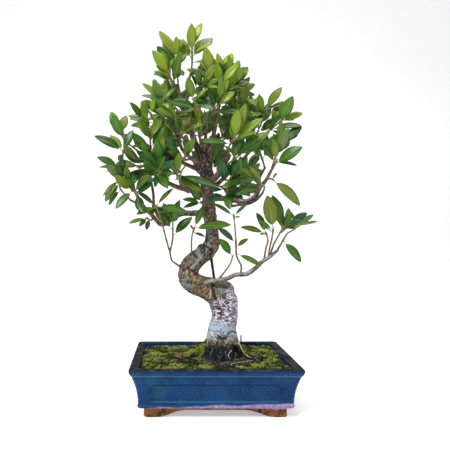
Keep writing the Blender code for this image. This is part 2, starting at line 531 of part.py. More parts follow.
def build_pot(material):
    """The shell, its sunk panels, the apron foot with its arches, and the drain holes."""
    outer = [wall_ring(s * MM, z * MM) for s, z in WALL_OUTSIDE]
    inner = [wall_ring(s * MM, z * MM) for s, z in WALL_INSIDE]
    pot = loft("pot", outer + inner)
    core_rings = [wall_ring(s * MM + PANEL_SINK, z * MM) for s, z in WALL_OUTSIDE[1:9]]
    panels = []
    low, high = PANEL_Z
    for axis, half in (("Y", PANEL_HALF_FRONT), ("X", PANEL_HALF_SIDE)):
        panel = extruded_outline("panel", panel_outline(half, low, high), axis, POT_WIDTH)
        panels.append(combine(panel, [loft("core", core_rings)], "DIFFERENCE"))
    combine(pot, panels, "DIFFERENCE")

    half_x = POT_WIDTH / 2 - FOOT_INSET
    half_y = POT_DEPTH / 2 - FOOT_INSET
    foot = loft("foot", [[(x, y, z) for x, y in rounded_rectangle(half_x, half_y, POT_CORNER)]
                         for z in (0, FOOT_TOP)])
    hollow = loft("hollow", [[(x, y, z) for x, y in
                              rounded_rectangle(half_x - FOOT_WIDTH, half_y - FOOT_WIDTH, POT_CORNER / 2)]
                             for z in (-CUT_PAST, FOOT_TOP + CUT_PAST)])
    arches = [extruded_outline("arch_front", arch_outline(*ARCH_FRONT), "Y", POT_DEPTH),
              extruded_outline("arch_side", arch_outline(*ARCH_SIDE), "X", POT_WIDTH)]
    combine(foot, [hollow], "DIFFERENCE")
    combine(foot, arches, "DIFFERENCE")
    combine(pot, [foot], "UNION")
    drains = [cylinder("drain", (side * DRAIN_X, 0), DRAIN_RADIUS, *DRAIN_CUT, DRAIN_SIDES) for side in (-1, 1)]
    combine(pot, drains, "DIFFERENCE")
    return publish(pot, material)


def build_screen(side, material):
    """A square of plastic net over a drain hole."""
    name = "drain_screen_left" if side < 0 else "drain_screen_right"
    low = FLOOR_TOP + SEAT
    half = SCREEN_SIDE / 2
    screen = box(name, (side * DRAIN_X - half, -half, low), (side * DRAIN_X + half, half, low + SCREEN_THICK))
    holes = []
    across = SCREEN_MESHES
    pitch = SCREEN_SIDE / (across + SCREEN_BORDER)
    opening = pitch * SCREEN_OPENING
    for i in range(across):
        for j in range(across):
            x = side * DRAIN_X + (i - (across - 1) / 2) * pitch
            y = (j - (across - 1) / 2) * pitch
            holes.append(box("mesh_hole", (x - opening, y - opening, low - CUT_PAST),
                             (x + opening, y + opening, low + CUT_PAST)))
    combine(screen, holes, "DIFFERENCE")
    return publish(screen, material)


def soil_height(x, y):
    """Level near the walls, mounded towards the trunk, with small waves."""
    distance = math.hypot(x - MOUND_MIDDLE[0], y - MOUND_MIDDLE[1])
    mound = SOIL_MOUND * math.exp(-((distance / MOUND_REACH) ** 2))
    broad, broad_x, broad_y, narrow, narrow_x, narrow_y = SOIL_WAVES
    waves = broad * math.sin(x * broad_x + SOIL_WAVE_START) * math.cos(y * broad_y)
    return SOIL_EDGE + mound + waves + narrow * math.sin(x * narrow_x - y * narrow_y)


def build_soil(material, hole_cutters):
    """The packed body inside the walls, under a waved top, cut for the root base."""
    bottom = FLOOR_TOP + SCREEN_THICK + 2 * SEAT
    rings = []
    for setback, height in reversed(WALL_INSIDE):
        z = max(height * MM, bottom)
        rings.append(wall_ring(setback * MM + SEAT, z))
    soil = loft("soil", rings[:-1])
    across, along = SOIL_CELLS
    xs = np.linspace(-POT_WIDTH / 2, POT_WIDTH / 2, across + 1)
    ys = np.linspace(-POT_DEPTH / 2, POT_DEPTH / 2, along + 1)
    points = [(x, y, soil_height(x, y)) for y in ys for x in xs]
    points += [(x, y, ABOVE_SOIL) for y in ys for x in xs]
    row = across + 1
    layer = row * (along + 1)
    faces = []
    for j in range(along):
        for i in range(across):
            a, b, c, d = j * row + i, j * row + i + 1, (j + 1) * row + i + 1, (j + 1) * row + i
            faces.append([d, c, b, a])
            faces.append([a + layer, b + layer, c + layer, d + layer])
    edge = [i for i in range(row)] + [j * row + across for j in range(1, along + 1)]
    edge += [along * row + i for i in range(across - 1, -1, -1)] + [j * row for j in range(along - 1, 0, -1)]
    for a, b in zip(edge, edge[1:] + edge[:1]):
        faces.append([a, b, b + layer, a + layer])
    above = new_object("above", points, faces)
    combine(soil, [above], "DIFFERENCE")
    combine(soil, hole_cutters, "DIFFERENCE")
    return publish(soil, material)


def seen(u, v, depth):
    """The point at this depth (mm) that the eye sees at the front view's (u, v)."""
    scale = (depth * MM - EYE.y) / VIEW_FOCUS
    return Vector((EYE.x + (u - VIEW_AXIS[0]) * scale, depth * MM, EYE.z - (v - VIEW_AXIS[1]) * scale))


def smooth_route(controls, step):
    """A Catmull-Rom curve through the controls (rows of x, y, z and perhaps a radius), read every step."""
    knots = np.array(controls, float)
    padded = np.vstack([2 * knots[0] - knots[1], knots, 2 * knots[-1] - knots[-2]])
    fine = []
    for k in range(1, len(padded) - 2):
        p0, p1, p2, p3 = padded[k - 1:k + 3]
        for t in np.linspace(0, 1, 8, endpoint=False):
            fine.append(0.5 * (2 * p1 + (p2 - p0) * t + (2 * p0 - 5 * p1 + 4 * p2 - p3) * t * t
                               + (3 * p1 - p0 - 3 * p2 + p3) * t ** 3))
    fine.append(knots[-1])
    fine = np.array(fine)
    lengths = np.concatenate([[0], np.cumsum(np.linalg.norm(np.diff(fine[:, :3], axis=0), axis=1))])
    count = max(2, int(round(lengths[-1] / step)) + 1)
    wanted = np.linspace(0, lengths[-1], count)
    return np.stack([np.interp(wanted, lengths, fine[:, c]) for c in range(fine.shape[1])], axis=1)


def drawn_route(rows, step):
    """The smooth route in metres of rows of u, v, depth and radius in mm."""
    return smooth_route([[*seen(u, v, d), r * MM] for u, v, d, r in rows], step)


def tube(name, route, sides):
    """A round bar along the route, as a bevelled curve made a mesh with its caps welded."""
    curve = bpy.data.curves.new(name, "CURVE")
    curve.dimensions = "3D"
    curve.bevel_depth = 1.0
    curve.bevel_resolution = (sides - 4) // 2
    curve.use_fill_caps = True
    spline = curve.splines.new("POLY")
    spline.points.add(len(route) - 1)
    for point, (x, y, z, radius) in zip(spline.points, route):
        point.co = (x, y, z, 1)
        point.radius = radius
    obj = bpy.data.objects.new(name, curve)
    CUTTERS.objects.link(obj)
    mesh = evaluated_mesh(obj)
    remove(obj)
    shape = bmesh.new()
    shape.from_mesh(mesh)
    bmesh.ops.remove_doubles(shape, verts=shape.verts, dist=WELD)
    return finished(name, shape)


def swelling(u, v, depth, rx, ry, rz):
    """An ellipsoid lump of wood, its half sizes in mm."""
    shape = bmesh.new()
    bmesh.ops.create_icosphere(shape, subdivisions=2, radius=MM)
    middle = seen(u, v, depth)
    for vertex in shape.verts:
        vertex.co = Vector((vertex.co.x * rx, vertex.co.y * ry, vertex.co.z * rz)) + middle
    return finished("swelling", shape)


def flare(name, grow):
    """The root flare: rings whose radius swells and dips as it goes round, more so towards the soil."""
    rings = []
    for height, middle, radius, ribs in FLARE:
        ring = []
        for k in range(FLARE_SIDES):
            angle = 2 * math.pi * k / FLARE_SIDES
            wave = sum(weight * math.cos(times * angle + turn) for times, turn, weight in FLARE_WAVES)
            reach = radius * MM * (1 + ribs * wave / sum(row[2] for row in FLARE_WAVES)) + grow
            across, along = reach * math.cos(angle), reach * math.sin(angle) * FLARE_DEPTH
            ring.append((middle * MM + across, along, height * MM))
        rings.append(ring)
    if grow:
        rings[0] = [(x, y, z - 2 * grow) for x, y, z in rings[0]]
    return loft(name, rings)


def skin(route, sides=6, grow=WOOD_ROOM):
    """Points and triangles of a tube along the route, a little fatter, to test for crossings."""
    places, radii = route[:, :3], route[:, 3] + grow
    ahead = np.gradient(places, axis=0)
    ahead /= np.linalg.norm(ahead, axis=1)[:, None]
    helper = np.where(np.abs(ahead[:, [1]]) < 0.9, [[0.0, 1, 0]], [[1.0, 0, 0]])
    side = np.cross(ahead, helper)
    side /= np.linalg.norm(side, axis=1)[:, None]
    up = np.cross(side, ahead)
    points = []
    for k in range(sides):
        angle = 2 * math.pi * k / sides
        points.append(places + radii[:, None] * (math.cos(angle) * side + math.sin(angle) * up))
    points = np.stack(points, axis=1).reshape(-1, 3)
    faces = []
    for i in range(len(route) - 1):
        for k in range(sides):
            a, b = i * sides + k, i * sides + (k + 1) % sides
            faces.append((a, b, b + sides))
            faces.append((a, b + sides, a + sides))
    return points, faces


class Space:
    """What has been placed so far, to keep new leaves clear of it."""

    def __init__(self):
        self.rows = []

    def add(self, owner, points, faces):
        points = np.asarray(points)
        tree = BVHTree.FromPolygons([tuple(p) for p in points], faces)
        self.rows.append((owner, points.min(axis=0), points.max(axis=0), tree))

    def clear(self, owner, whole, blade):
        """True where the whole leaf is clear of what others own, and its blade of what its own shoot has."""
        points = np.asarray(whole[0])
        low, high = points.min(axis=0), points.max(axis=0)
        whole_tree = BVHTree.FromPolygons([tuple(p) for p in whole[0]], whole[1])
        blade_tree = BVHTree.FromPolygons([tuple(p) for p in blade[0]], blade[1])
        for other_owner, other_low, other_high, other in self.rows:
            if (low > other_high).any() or (high < other_low).any():
                continue
            tree = blade_tree if other_owner == owner else whole_tree
            if tree.overlap(other):
                return False
        return True


def leaf_mesh(stem, tip, upward, width_share, grow=0.0):
    """An elliptic blade with a keel below, tapering into its stalk, as one closed skin of triangles."""
    along = tip - stem
    reach = along.length
    along = along / reach
    side = along.cross(upward).normalized()
    normal = side.cross(along).normalized()
    stalk = min(STALK_MOST, STALK_SHARE * reach)
    length = reach - stalk
    half = length * width_share / 2
    sections = [(0.0, STALK_RADIUS, STALK_RADIUS, 0.0)]
    for share, wide in BLADE:
        bow = BLADE_BOW * length * 4 * share * (1 - share)
        sections.append((stalk + share * length, wide * half, LEAF_THICK, bow))
    points = []
    for distance, wide, deep, bow in sections:
        centre = stem + along * distance + normal * (bow + grow)
        points += [centre - side * (wide + grow), centre + side * (wide + grow), centre - normal * (deep + 2 * grow)]
    points.append(tip + along * grow)
    last = len(points) - 1
    faces = [(0, 1, 2)]
    for a in range(0, last - 3, 3):
        for i, j in ((0, 1), (1, 2), (2, 0)):
            faces += [(a + i, a + 3 + i, a + 3 + j), (a + i, a + 3 + j, a + j)]
    top = last - 3
    faces += [(top, last, top + 1), (top + 1, last, top + 2), (top + 2, last, top)]
    return points, faces


def test_skins(stem, tip, upward, width_share):
    """A slightly larger leaf that starts just outside its twig, and that leaf's blade alone."""
    points, faces = leaf_mesh(stem, tip, upward, width_share, LEAF_ROOM)
    share = STALK_TESTED_FROM / (points[3] - points[0]).length
    points[:3] = [near.lerp(far, share) for near, far in zip(points[:3], points[3:6])]
    blade = [tuple(i - 3 for i in f) for f in faces if min(f) >= 3]
    return (points, faces), (points[3:], blade)


def facing(point, tip_share):
    """Leaves face the front or the back, on whichever side they grow, and somewhat up, out and to one side."""
    outward = Vector((point.x, point.y - CROWN_DEPTH, 0)).normalized()
    front = -FACING_FRONT if point.y < CROWN_DEPTH else FACING_FRONT
    onward = Vector((FACING_SWAY * math.sin(SWAY_TURN * tip_share), front, FACING_UP))
    return (onward + outward * FACING_OUT).normalized()


def grow_shown(space, name, stem, row):
    """A leaf whose tip is drawn on the front view, in a list. It tries nearby depths until it is clear."""
    _, u, v, depth, width = row
    for shift in DEPTH_TRIES:
        tip = seen(u, v, depth + shift)
        for roll in SHOWN_ROLLS:
            upward = Vector((roll, -1, SHOWN_UP + ROLLED_UP * abs(roll))).normalized()
            whole, blade = test_skins(stem, tip, upward, width)
            if space.clear(name, whole, blade):
                space.add(name, *whole)
                return [(stem, tip, upward, width)]
    return []


def grow_more(space, name, twig, count, index):
    """Leaves by the rule of the shoot: each turns by the golden angle and leans out less near the tip."""
    grown = []
    for k in range(count):
        share = FIRST_LEAF + (1 - FIRST_LEAF) * (k + 1) / count
        place = route_point(twig, share)
        ahead = (route_point(twig, share + SHARE_AROUND) - route_point(twig, share - SHARE_AROUND)).normalized()
        across = ahead.cross(Vector((0.3, 0.2, 1))).normalized()
        beside = ahead.cross(across)
        for turn, shrink, lean_more in LEAF_TRIES:
            angle = index * SHOOT_TURN + k * GOLDEN_TURN + math.radians(turn)
            lean = math.radians(LEAN_LOW + (LEAN_TIP - LEAN_LOW) * share + lean_more)
            out = math.cos(angle) * across + math.sin(angle) * beside
            toward = math.cos(lean) * ahead + math.sin(lean) * out + Vector((0, 0, LEAF_LIFT))
            toward = Vector((toward.x, toward.y * FANNED, toward.z)).normalized()
            length = GROWN_LEAF * shrink
            length *= LOWEST_LENGTH - LENGTH_FALL * share + LENGTH_SWAY * math.sin(3 * k + index)
            tip = place + toward * length
            upward = facing(tip, share + k)
            if abs(toward.dot(upward)) > EDGE_ON:
                upward = across
            width = LEAF_WIDTH * (1 + WIDTH_SWAY * math.sin(5 * k + 2 * index))
            whole, blade = test_skins(place, tip, upward, width)
            if space.clear(name, whole, blade):
                space.add(name, *whole)
                grown.append((place, tip, upward, width))
                break
    return grown


def route_point(route, share):
    """The place this share of the way along a route."""
    lengths = np.concatenate([[0], np.cumsum(np.linalg.norm(np.diff(route[:, :3], axis=0), axis=1))])
    wanted = min(max(share, 0), 1) * lengths[-1]
    return Vector([float(np.interp(wanted, lengths, route[:, c])) for c in range(3)])


def shoot_route(rows):
    """The shoot's whole route from its branch's middle, with its tapering radius."""
    places = [[*seen(u, v, d)] for u, v, d in rows]
    route = smooth_route(places, FINE_STEP)
    radii = np.linspace(SHOOT_RADIUS, SHOOT_TIP_RADIUS, len(route))
    return np.column_stack([route, radii])


def read_route(route, wanted):
    """The route's rows at these distances along it."""
    lengths = np.concatenate([[0], np.cumsum(np.linalg.norm(np.diff(route[:, :3], axis=0), axis=1))])
    return np.stack([np.interp(wanted, lengths, route[:, c]) for c in range(route.shape[1])], axis=1)


def shoot_parts(route):
    """The shoot's base, which starts inside its branch, and the twig beyond it, whose chords are longer."""
    length = np.linalg.norm(np.diff(route[:, :3], axis=0), axis=1).sum()
    count = max(2, int(round((length - BASE_LENGTH) / SHOOT_STEP)) + 1)
    return read_route(route, [0, BASE_LENGTH]), read_route(route, np.linspace(BASE_LENGTH, length, count))


def seated(route, twig, wood):
    """The twig run back along its route to as near the wood as a slightly larger one keeps clear."""
    start = BASE_LENGTH
    while start > SEAT_STEP + SEAT:
        points, faces = skin(np.vstack([read_route(route, [start - SEAT_STEP - SEAT]), twig[:1]]), SEAT_SIDES, SEAT)
        faces += [(0, k, k + 1) for k in range(1, SEAT_SIDES - 1)]
        if BVHTree.FromPolygons([tuple(p) for p in points], faces).overlap(wood):
            break
        start -= SEAT_STEP
    return np.vstack([read_route(route, [start]), twig]) if start < BASE_LENGTH else twig


def branch_route(rows):
    """A branch's route, run on by its end radius so that a shoot's stub starts inside it."""
    route = drawn_route(rows, BRANCH_STEP)
    ahead = route[-1, :3] - route[-2, :3]
    route[-1, :3] += ahead / np.linalg.norm(ahead) * route[-1, 3]
    return route


def build_trunk(material):
    """The trunk, its flare, roots, swellings and branches, as one."""
    trunk = tube("trunk", drawn_route(TRUNK, TRUNK_STEP), TRUNK_SIDES)
    pieces = [flare("flare", 0.0)]
    pieces += [swelling(*row) for row in SWELLINGS]
    pieces += [tube(name, branch_route(rows), sides) for name, sides, rows in BRANCHES]
    pieces += [tube("root", drawn_route(rows, ROOT_STEP), ROOT_SIDES) for rows in ROOTS]
    combine(trunk, pieces, "UNION")
    fill_hollows(trunk)
    return publish(trunk, material)


def root_cutters():
    """The root base, a little larger, to cut its plain hole in the soil."""
    cutters = [flare("flare_hole", ROOT_GAP)]
    for rows in ROOTS:
        route = drawn_route(rows, ROOT_STEP)
        route[:, 3] += ROOT_GAP
        ahead = route[-1, :3] - route[-2, :3]
        route[-1, :3] += ahead / np.linalg.norm(ahead) * ROOT_GAP
        cutters.append(tube("root_hole", route, ROOT_SIDES))
    hole = cutters[0]
    combine(hole, cutters[1:], "UNION")
    return [hole]


def triangles_of(mesh):
    """A mesh's points and triangles as lists."""
    mesh.calc_loop_triangles()
    return [tuple(v.co) for v in mesh.vertices], [tuple(t.vertices) for t in mesh.loop_triangles]


def build_shoots(materials, trunk):
    """Each leafy shoot as one solid. Twigs are placed first, then the drawn leaves, then the rule's."""
    space = Space()
    space.add("trunk", *skin(drawn_route(TRUNK, TRUNK_STEP), TRUNK_SIDES))
    for name, _, rows in BRANCHES:
        space.add(name, *skin(branch_route(rows)))
    routes = [shoot_route(rows) for _, rows, _, _ in SHOOTS]
    bases, twigs = zip(*[shoot_parts(route) for route in routes])
    for (name, _, _, _), base, twig in zip(SHOOTS, bases, twigs):
        space.add("base", *skin(base, SHOOT_SIDES))
        space.add(name, *skin(twig, SHOOT_SIDES))
    grown = {name: [] for name, _, _, _ in SHOOTS}
    for (name, _, shown, _), twig in zip(SHOOTS, twigs):
        for row in shown:
            grown[name] += grow_shown(space, name, route_point(twig, row[0]), row)
    for index, ((name, _, _, more), twig) in enumerate(zip(SHOOTS, twigs)):
        grown[name] += grow_more(space, name, twig, more, index)
    wood = BVHTree.FromPolygons(*triangles_of(trunk.data))
    for index, ((name, _, _, _), route, twig) in enumerate(zip(SHOOTS, routes, twigs)):
        shoot = tube("shoot_" + name, seated(route, twig, wood), SHOOT_SIDES)
        leaves = [new_object("leaf", *leaf_mesh(*leaf)) for leaf in grown[name]]
        combine(shoot, leaves, "UNION")
        fill_hollows(shoot)
        publish(shoot, materials[index % len(materials)])


def set_origin():
    """Moves every piece so that the origin is the middle of the whole object's base."""
    lows, highs = [], []
    for obj in PARTS.objects:
        corners = np.array([obj.matrix_world @ v.co for v in obj.data.vertices])
        lows.append(corners.min(axis=0))
        highs.append(corners.max(axis=0))
    low, high = np.min(lows, axis=0), np.max(highs, axis=0)
    shift = Vector((-(low[0] + high[0]) / 2, -(low[1] + high[1]) / 2, -low[2]))
    for obj in PARTS.objects:
        obj.location = shift


def main():
    clear_scene()
    glaze = make_material("blue_glaze", (0.015, 0.09, 0.26), 0.25)
    plastic = make_material("black_plastic", (0.02, 0.02, 0.02), 0.6)
    earth = make_material("dark_soil", (0.05, 0.035, 0.022), 0.95)
    bark = make_material("grey_bark", (0.28, 0.22, 0.18), 0.85)
    leaf = [make_material("deep_green_leaf", (0.04, 0.17, 0.02), 0.35),
            make_material("fresh_green_leaf", (0.12, 0.30, 0.03), 0.35)]
    build_pot(glaze)
    for side in (-1, 1):
        build_screen(side, plastic)
    build_soil(earth, root_cutters())
    build_shoots(leaf, build_trunk(bark))
    set_origin()


main()
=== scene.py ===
# %% [markdown]
# # A ficus bonsai in a blue glazed pot
# The tree is an S-shaped trunk under a crown of more than 500 waxy leaves, in a shallow rectangular pot.
# The solids that carry it all are loaded first as a fixed frame. Everything made here lies where those
# solids lie, but with finer surfaces, so each piece says which solid it stands for.

import math

import bpy
import numpy as np
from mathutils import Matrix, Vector
from mathutils.bvhtree import BVHTree


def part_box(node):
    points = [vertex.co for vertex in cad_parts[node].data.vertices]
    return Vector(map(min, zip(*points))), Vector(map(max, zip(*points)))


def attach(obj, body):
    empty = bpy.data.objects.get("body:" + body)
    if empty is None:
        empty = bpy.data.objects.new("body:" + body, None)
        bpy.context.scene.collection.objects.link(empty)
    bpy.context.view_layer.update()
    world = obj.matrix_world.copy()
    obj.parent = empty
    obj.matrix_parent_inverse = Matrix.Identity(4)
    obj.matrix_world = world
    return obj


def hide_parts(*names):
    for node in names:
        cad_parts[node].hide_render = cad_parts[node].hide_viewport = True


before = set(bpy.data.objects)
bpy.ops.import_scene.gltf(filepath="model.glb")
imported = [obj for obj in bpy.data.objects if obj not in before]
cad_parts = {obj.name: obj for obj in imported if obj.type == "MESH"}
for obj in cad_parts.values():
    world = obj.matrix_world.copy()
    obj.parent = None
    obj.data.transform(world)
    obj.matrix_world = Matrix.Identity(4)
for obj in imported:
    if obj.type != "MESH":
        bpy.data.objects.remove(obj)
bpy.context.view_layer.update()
pot_low, pot_high = (np.array(corner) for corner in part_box("pot"))
SHIFT = np.array([(pot_low[0] + pot_high[0]) / 2, (pot_low[1] + pot_high[1]) / 2, pot_low[2]])
MM = 0.001
print("the middle of the pot lies", SHIFT.round(4), "from the origin")

# %% [markdown]
# ## The camera
# A front view is easiest to match when the sizes and the eye are worked out together. The eye is level and
# 74 cm in front of the pot's middle. The lens shift slides the picture without turning the camera, so that
# upright edges stay upright.

# %% The camera
FRAME_SIDE = 450
EYE = Vector((-0.0619, -0.7371, 0.2611))
VIEW_AXIS = (174.6, 243.7)
VIEW_FOCUS = 440.0
SENSOR_WIDTH = 36.0


def in_scene(name, data):
    """A new object for a mesh, a lamp or a camera, linked into the scene."""
    made = bpy.data.objects.new(name, data)
    bpy.context.scene.collection.objects.link(made)
    return made


def make_camera():
    """A level camera at the eye. Its lens is the focus over the frame's side, in px, times the sensor."""
    data = bpy.data.cameras.new("camera")
    data.sensor_width = SENSOR_WIDTH
    data.lens = VIEW_FOCUS / FRAME_SIDE * SENSOR_WIDTH
    data.shift_x = (FRAME_SIDE / 2 - VIEW_AXIS[0]) / FRAME_SIDE
    data.shift_y = (VIEW_AXIS[1] - FRAME_SIDE / 2) / FRAME_SIDE
    camera = in_scene("camera", data)
    camera.location = EYE + Vector(SHIFT)
    camera.rotation_euler = (math.pi / 2, 0, 0)
    bpy.context.scene.camera = camera


make_camera()

# %% [markdown]
# ## Surfaces as arrays
# Every piece below is a set of points worked out as whole arrays. A grid of points becomes a skin by
# joining each point to its neighbours, and the same few helpers turn any such grid into an object.

# %% Helpers that turn arrays into pieces
def grid_faces(rows, columns, around=False):
    """Four-sided faces between a grid's neighbours, joined across the last column if it goes round."""
    row = np.arange(rows - 1)[:, None]
    column = np.arange(columns if around else columns - 1)[None, :]
    after = (column + 1) % columns
    a, b = row * columns + column, row * columns + after
    return np.stack([a, b, b + columns, a + columns], axis=-1).reshape(-1, 4)


def closed_faces(rows, columns):
    """The faces of a grid that goes round, with a flat cap on its first row and one on its last."""
    first = np.arange(columns)[None]
    return [grid_faces(rows, columns, True), first[:, ::-1], (rows - 1) * columns + first]


def mesh_of(name, points, faces, slots=None):
    """A smooth mesh from point rows and a list of face arrays, one for each number of corners."""
    mesh = bpy.data.meshes.new(name)
    corners = np.concatenate([f.reshape(-1) for f in faces]).astype(np.int32)
    sizes = np.concatenate([np.full(len(f), f.shape[1]) for f in faces])
    starts = np.concatenate([[0], np.cumsum(sizes)[:-1]]).astype(np.int32)
    mesh.vertices.add(len(points))
    mesh.vertices.foreach_set("co", np.asarray(points, np.float32).ravel())
    mesh.loops.add(len(corners))
    mesh.loops.foreach_set("vertex_index", corners)
    mesh.polygons.add(len(sizes))
    mesh.polygons.foreach_set("loop_start", starts)
    if slots is not None:
        mesh.polygons.foreach_set("material_index", np.asarray(slots, np.int32))
    mesh.update(calc_edges=True)
    mesh.shade_smooth()
    return mesh


def set_values(mesh, name, values):
    """A number for each point, which a material reads by its name."""
    mesh.attributes.new(name, "FLOAT", "POINT").data.foreach_set("value", np.asarray(values, np.float32))


def set_uv(mesh, uv):
    """A UV map from one (u, v) row for each point."""
    corners = np.empty(len(mesh.loops), np.int32)
    mesh.loops.foreach_get("vertex_index", corners)
    mesh.uv_layers.new(name="UVMap").data.foreach_set("uv", np.asarray(uv, np.float32)[corners].ravel())


def points_of(mesh):
    """The mesh's points and normals as rows."""
    points = np.empty(len(mesh.vertices) * 3, np.float32)
    normals = np.empty(len(mesh.vertices) * 3, np.float32)
    mesh.vertices.foreach_get("co", points)
    mesh.vertices.foreach_get("normal", normals)
    return points.reshape(-1, 3).astype(float), normals.reshape(-1, 3).astype(float)


def show(name, mesh, materials, nodes=()):
    """Puts a mesh in the scene as a piece of the object that stands for the named solids."""
    for material in materials:
        mesh.materials.append(material)
    piece = in_scene(name, mesh)
    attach(piece, "root")
    if nodes:
        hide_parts(*nodes)
    return piece


# %% [markdown]
# ## Natural unevenness
# Bark, soil and moss have no plain formula, but smooth noise makes them: random numbers at the corners of
# a lattice, blended in between. Adding the same noise at half the size and half the height gives finer
# detail.

# %% Noise on arrays
# large odd factors that make neighbouring corners unlike each other
LATTICE_PRIMES = np.array([374761393, 668265263, 1440662683])
SEED_PRIME = 974634777
MIXING_PRIME = 1274126177
# keeps the corners' numbers above 0
LATTICE_START = 1000


def lattice_value(cell, seed):
    """A repeatable number from -1 to 1 for each integer lattice corner."""
    mixed = cell @ LATTICE_PRIMES + seed * SEED_PRIME
    mixed = (mixed ^ (mixed >> 13)) * MIXING_PRIME & 0xFFFFFFFF
    return ((mixed ^ (mixed >> 16)) & 0xFFFF) / 32767.5 - 1


def noise(points, size, seed=0):
    """Value noise: the eight lattice corners round a point, blended by smooth steps along X, Y and Z."""
    scaled = np.asarray(points) / size + LATTICE_START
    cell = np.floor(scaled).astype(np.int64)
    part = scaled - cell
    part = part * part * (3 - 2 * part)
    total = 0
    for corner in np.ndindex(2, 2, 2):
        weight = np.prod(np.where(corner, part, 1 - part), axis=-1)
        total = total + weight * lattice_value(cell + np.array(corner), seed)
    return total


def layered(points, size, layers=3, seed=0):
    """Noise added to itself at half the size and half the height for each further layer."""
    return sum(noise(points, size / 2 ** k, seed + k) / 2 ** k for k in range(layers))


def smooth_step(value, low, high):
    """0 below low, 1 above high and a smooth rise between."""
    t = np.clip((value - low) / (high - low), 0, 1)
    return t * t * (3 - 2 * t)


# %% [markdown]
# ## Shader helpers
# The materials are built from nodes. These helpers add a node, join its inputs and hand back its output.

# %% Helpers for materials
class Shader:
    """A new material with its Principled BSDF, and short ways to add the nodes that feed it."""

    def __init__(self, name, roughness, specular=0.5):
        self.material = bpy.data.materials.new(name)
        self.material.use_nodes = True
        self.tree = self.material.node_tree
        self.principled = self.tree.nodes["Principled BSDF"]
        self.principled.inputs["Roughness"].default_value = roughness
        self.principled.inputs["Specular IOR Level"].default_value = specular
        self.place = self.tree.nodes.new("ShaderNodeTexCoord").outputs["Object"]

    def fill(self, socket, value):
        """Joins another node's output to a socket, or writes a plain number or colour there."""
        if isinstance(value, bpy.types.NodeSocket):
            self.tree.links.new(value, socket)
        else:
            socket.default_value = (*value, 1) if socket.type == "RGBA" else value

    def node(self, kind, inputs=(), **settings):
        """A node with its settings and its filled sockets."""
        made = self.tree.nodes.new(kind)
        for key, value in settings.items():
            setattr(made, key, value)
        for key, value in dict(inputs).items():
            self.fill(made.inputs[key], value)
        return made

    def math(self, operation, a, b=0.0):
        return self.node("ShaderNodeMath", {0: a, 1: b}, operation=operation).outputs[0]

    def times(self, a, b):
        return self.math("MULTIPLY", a, b)

    def value(self, name):
        """The number that the mesh holds at each point under this name."""
        return self.node("ShaderNodeAttribute", attribute_name=name).outputs["Fac"]

    def height(self):
        """The height over the base, in metres."""
        return self.node("ShaderNodeSeparateXYZ", {"Vector": self.place}).outputs["Z"]

    def clouds(self, size, detail=3.0, rough=0.55, stretch=(1, 1, 1), warp=0.0):
        """Noise whose lumps are about this many metres across."""
        vector = self.node("ShaderNodeMapping", {"Vector": self.place, "Scale": stretch}).outputs[0]
        made = self.node("ShaderNodeTexNoise", {"Vector": vector, "Scale": 1 / size, "Detail": detail,
                                                "Roughness": rough, "Distortion": warp})
        return made.outputs["Fac"]

    def step(self, value, low, high):
        """0 below low and 1 above high, smooth between."""
        made = self.node("ShaderNodeMapRange", {"Value": value, "From Min": low, "From Max": high})
        made.interpolation_type = "SMOOTHSTEP"
        return made.outputs[0]

    def band(self, value, middle, half):
        """1 at the middle, fading to 0 this far to each side."""
        away = self.math("ABSOLUTE", self.math("SUBTRACT", value, middle))
        return self.step(away, half, 0.0)

    def mix(self, share, under, over):
        """under (1 - share) + over share, between two colours."""
        return self.node("ShaderNodeMix", {0: share, 6: under, 7: over}, data_type="RGBA").outputs[2]

    def coats(self, colour, *rows):
        """Coats laid over a colour in turn. Each row: where it lies, how much of it at most, its colour."""
        for share, most, coat in rows:
            colour = self.mix(self.times(share, most), colour, coat)
        return colour

    def blend(self, share, under, over):
        """The same between two plain numbers."""
        return self.node("ShaderNodeMix", {0: share, 2: under, 3: over}, data_type="FLOAT").outputs[0]

    def finish(self, colour, roughness=None, bump=None, bump_height=0.0003):
        """Joins the colour, the roughness and a bump of this height to the shader."""
        self.fill(self.principled.inputs["Base Color"], colour)
        if roughness is not None:
            self.fill(self.principled.inputs["Roughness"], roughness)
        if bump is not None:
            relief = self.node("ShaderNodeBump", {"Height": bump, "Distance": bump_height, "Strength": 1.0})
            self.fill(self.principled.inputs["Normal"], relief.outputs[0])
        return self.material


# %% [markdown]
# ## The pot
# The pot is slip-cast stoneware: a flared body under a rolled rim, a sunk panel on each side, and an apron
# foot cut into four corner feet by low arches. Its outline is a rectangle with round corners at every
# height, so the whole wall is one function of a place round the pot and a place up its profile. The panel
# is a smooth step in that function, taken from the distance to a rounded rectangle.

# %% The pot's sizes
POT_HALF = np.array([0.130, 0.0975])
POT_CORNER = 0.006
FOOT_INSET = 0.0217
FOOT_WIDTH = 0.013
FOOT_TOP = 0.0175
ARCH_HEIGHT = 0.0108
ARCH_FRONT = (0.091, 0.0435)
ARCH_SIDE = (0.057, 0.026)
PANEL_SINK = 0.0012
PANEL_SLOPE = 0.0008
PANEL_Z = (0.0262, 0.0524)
PANEL_HALF = (0.0985, 0.066)
PANEL_CORNER = 0.009
FOOT_ROUNDING = 0.0012
FOOT_COLUMNS = (90, 64)
DRAIN_RADIUS = 0.011
DRAIN_X = 0.062
DRAIN_SIDES = 48
DRAIN_HEIGHTS = (0.005, 0.04)
# columns stand close where the panel ends, up to these reaches in and out of its corner
CLOSE_COLUMN = 0.0008
WIDE_COLUMN = 0.004
CLOSE_REACH = (0.002, 0.0028)
# the wall's outside: this near the rim's edge, below the rolls, with a normal less upright than this
OUTSIDE_INSET = 0.0150
OUTSIDE_TOP = 0.062
UPRIGHT = 0.8
# the painted lines round the panel: their width, and how far above the panel's lower edge the painted shade
# turns into a painted highlight
PANEL_PAINTED_LINE = 0.0011
PAINTED_HIGHLIGHT_RISE = 0.003
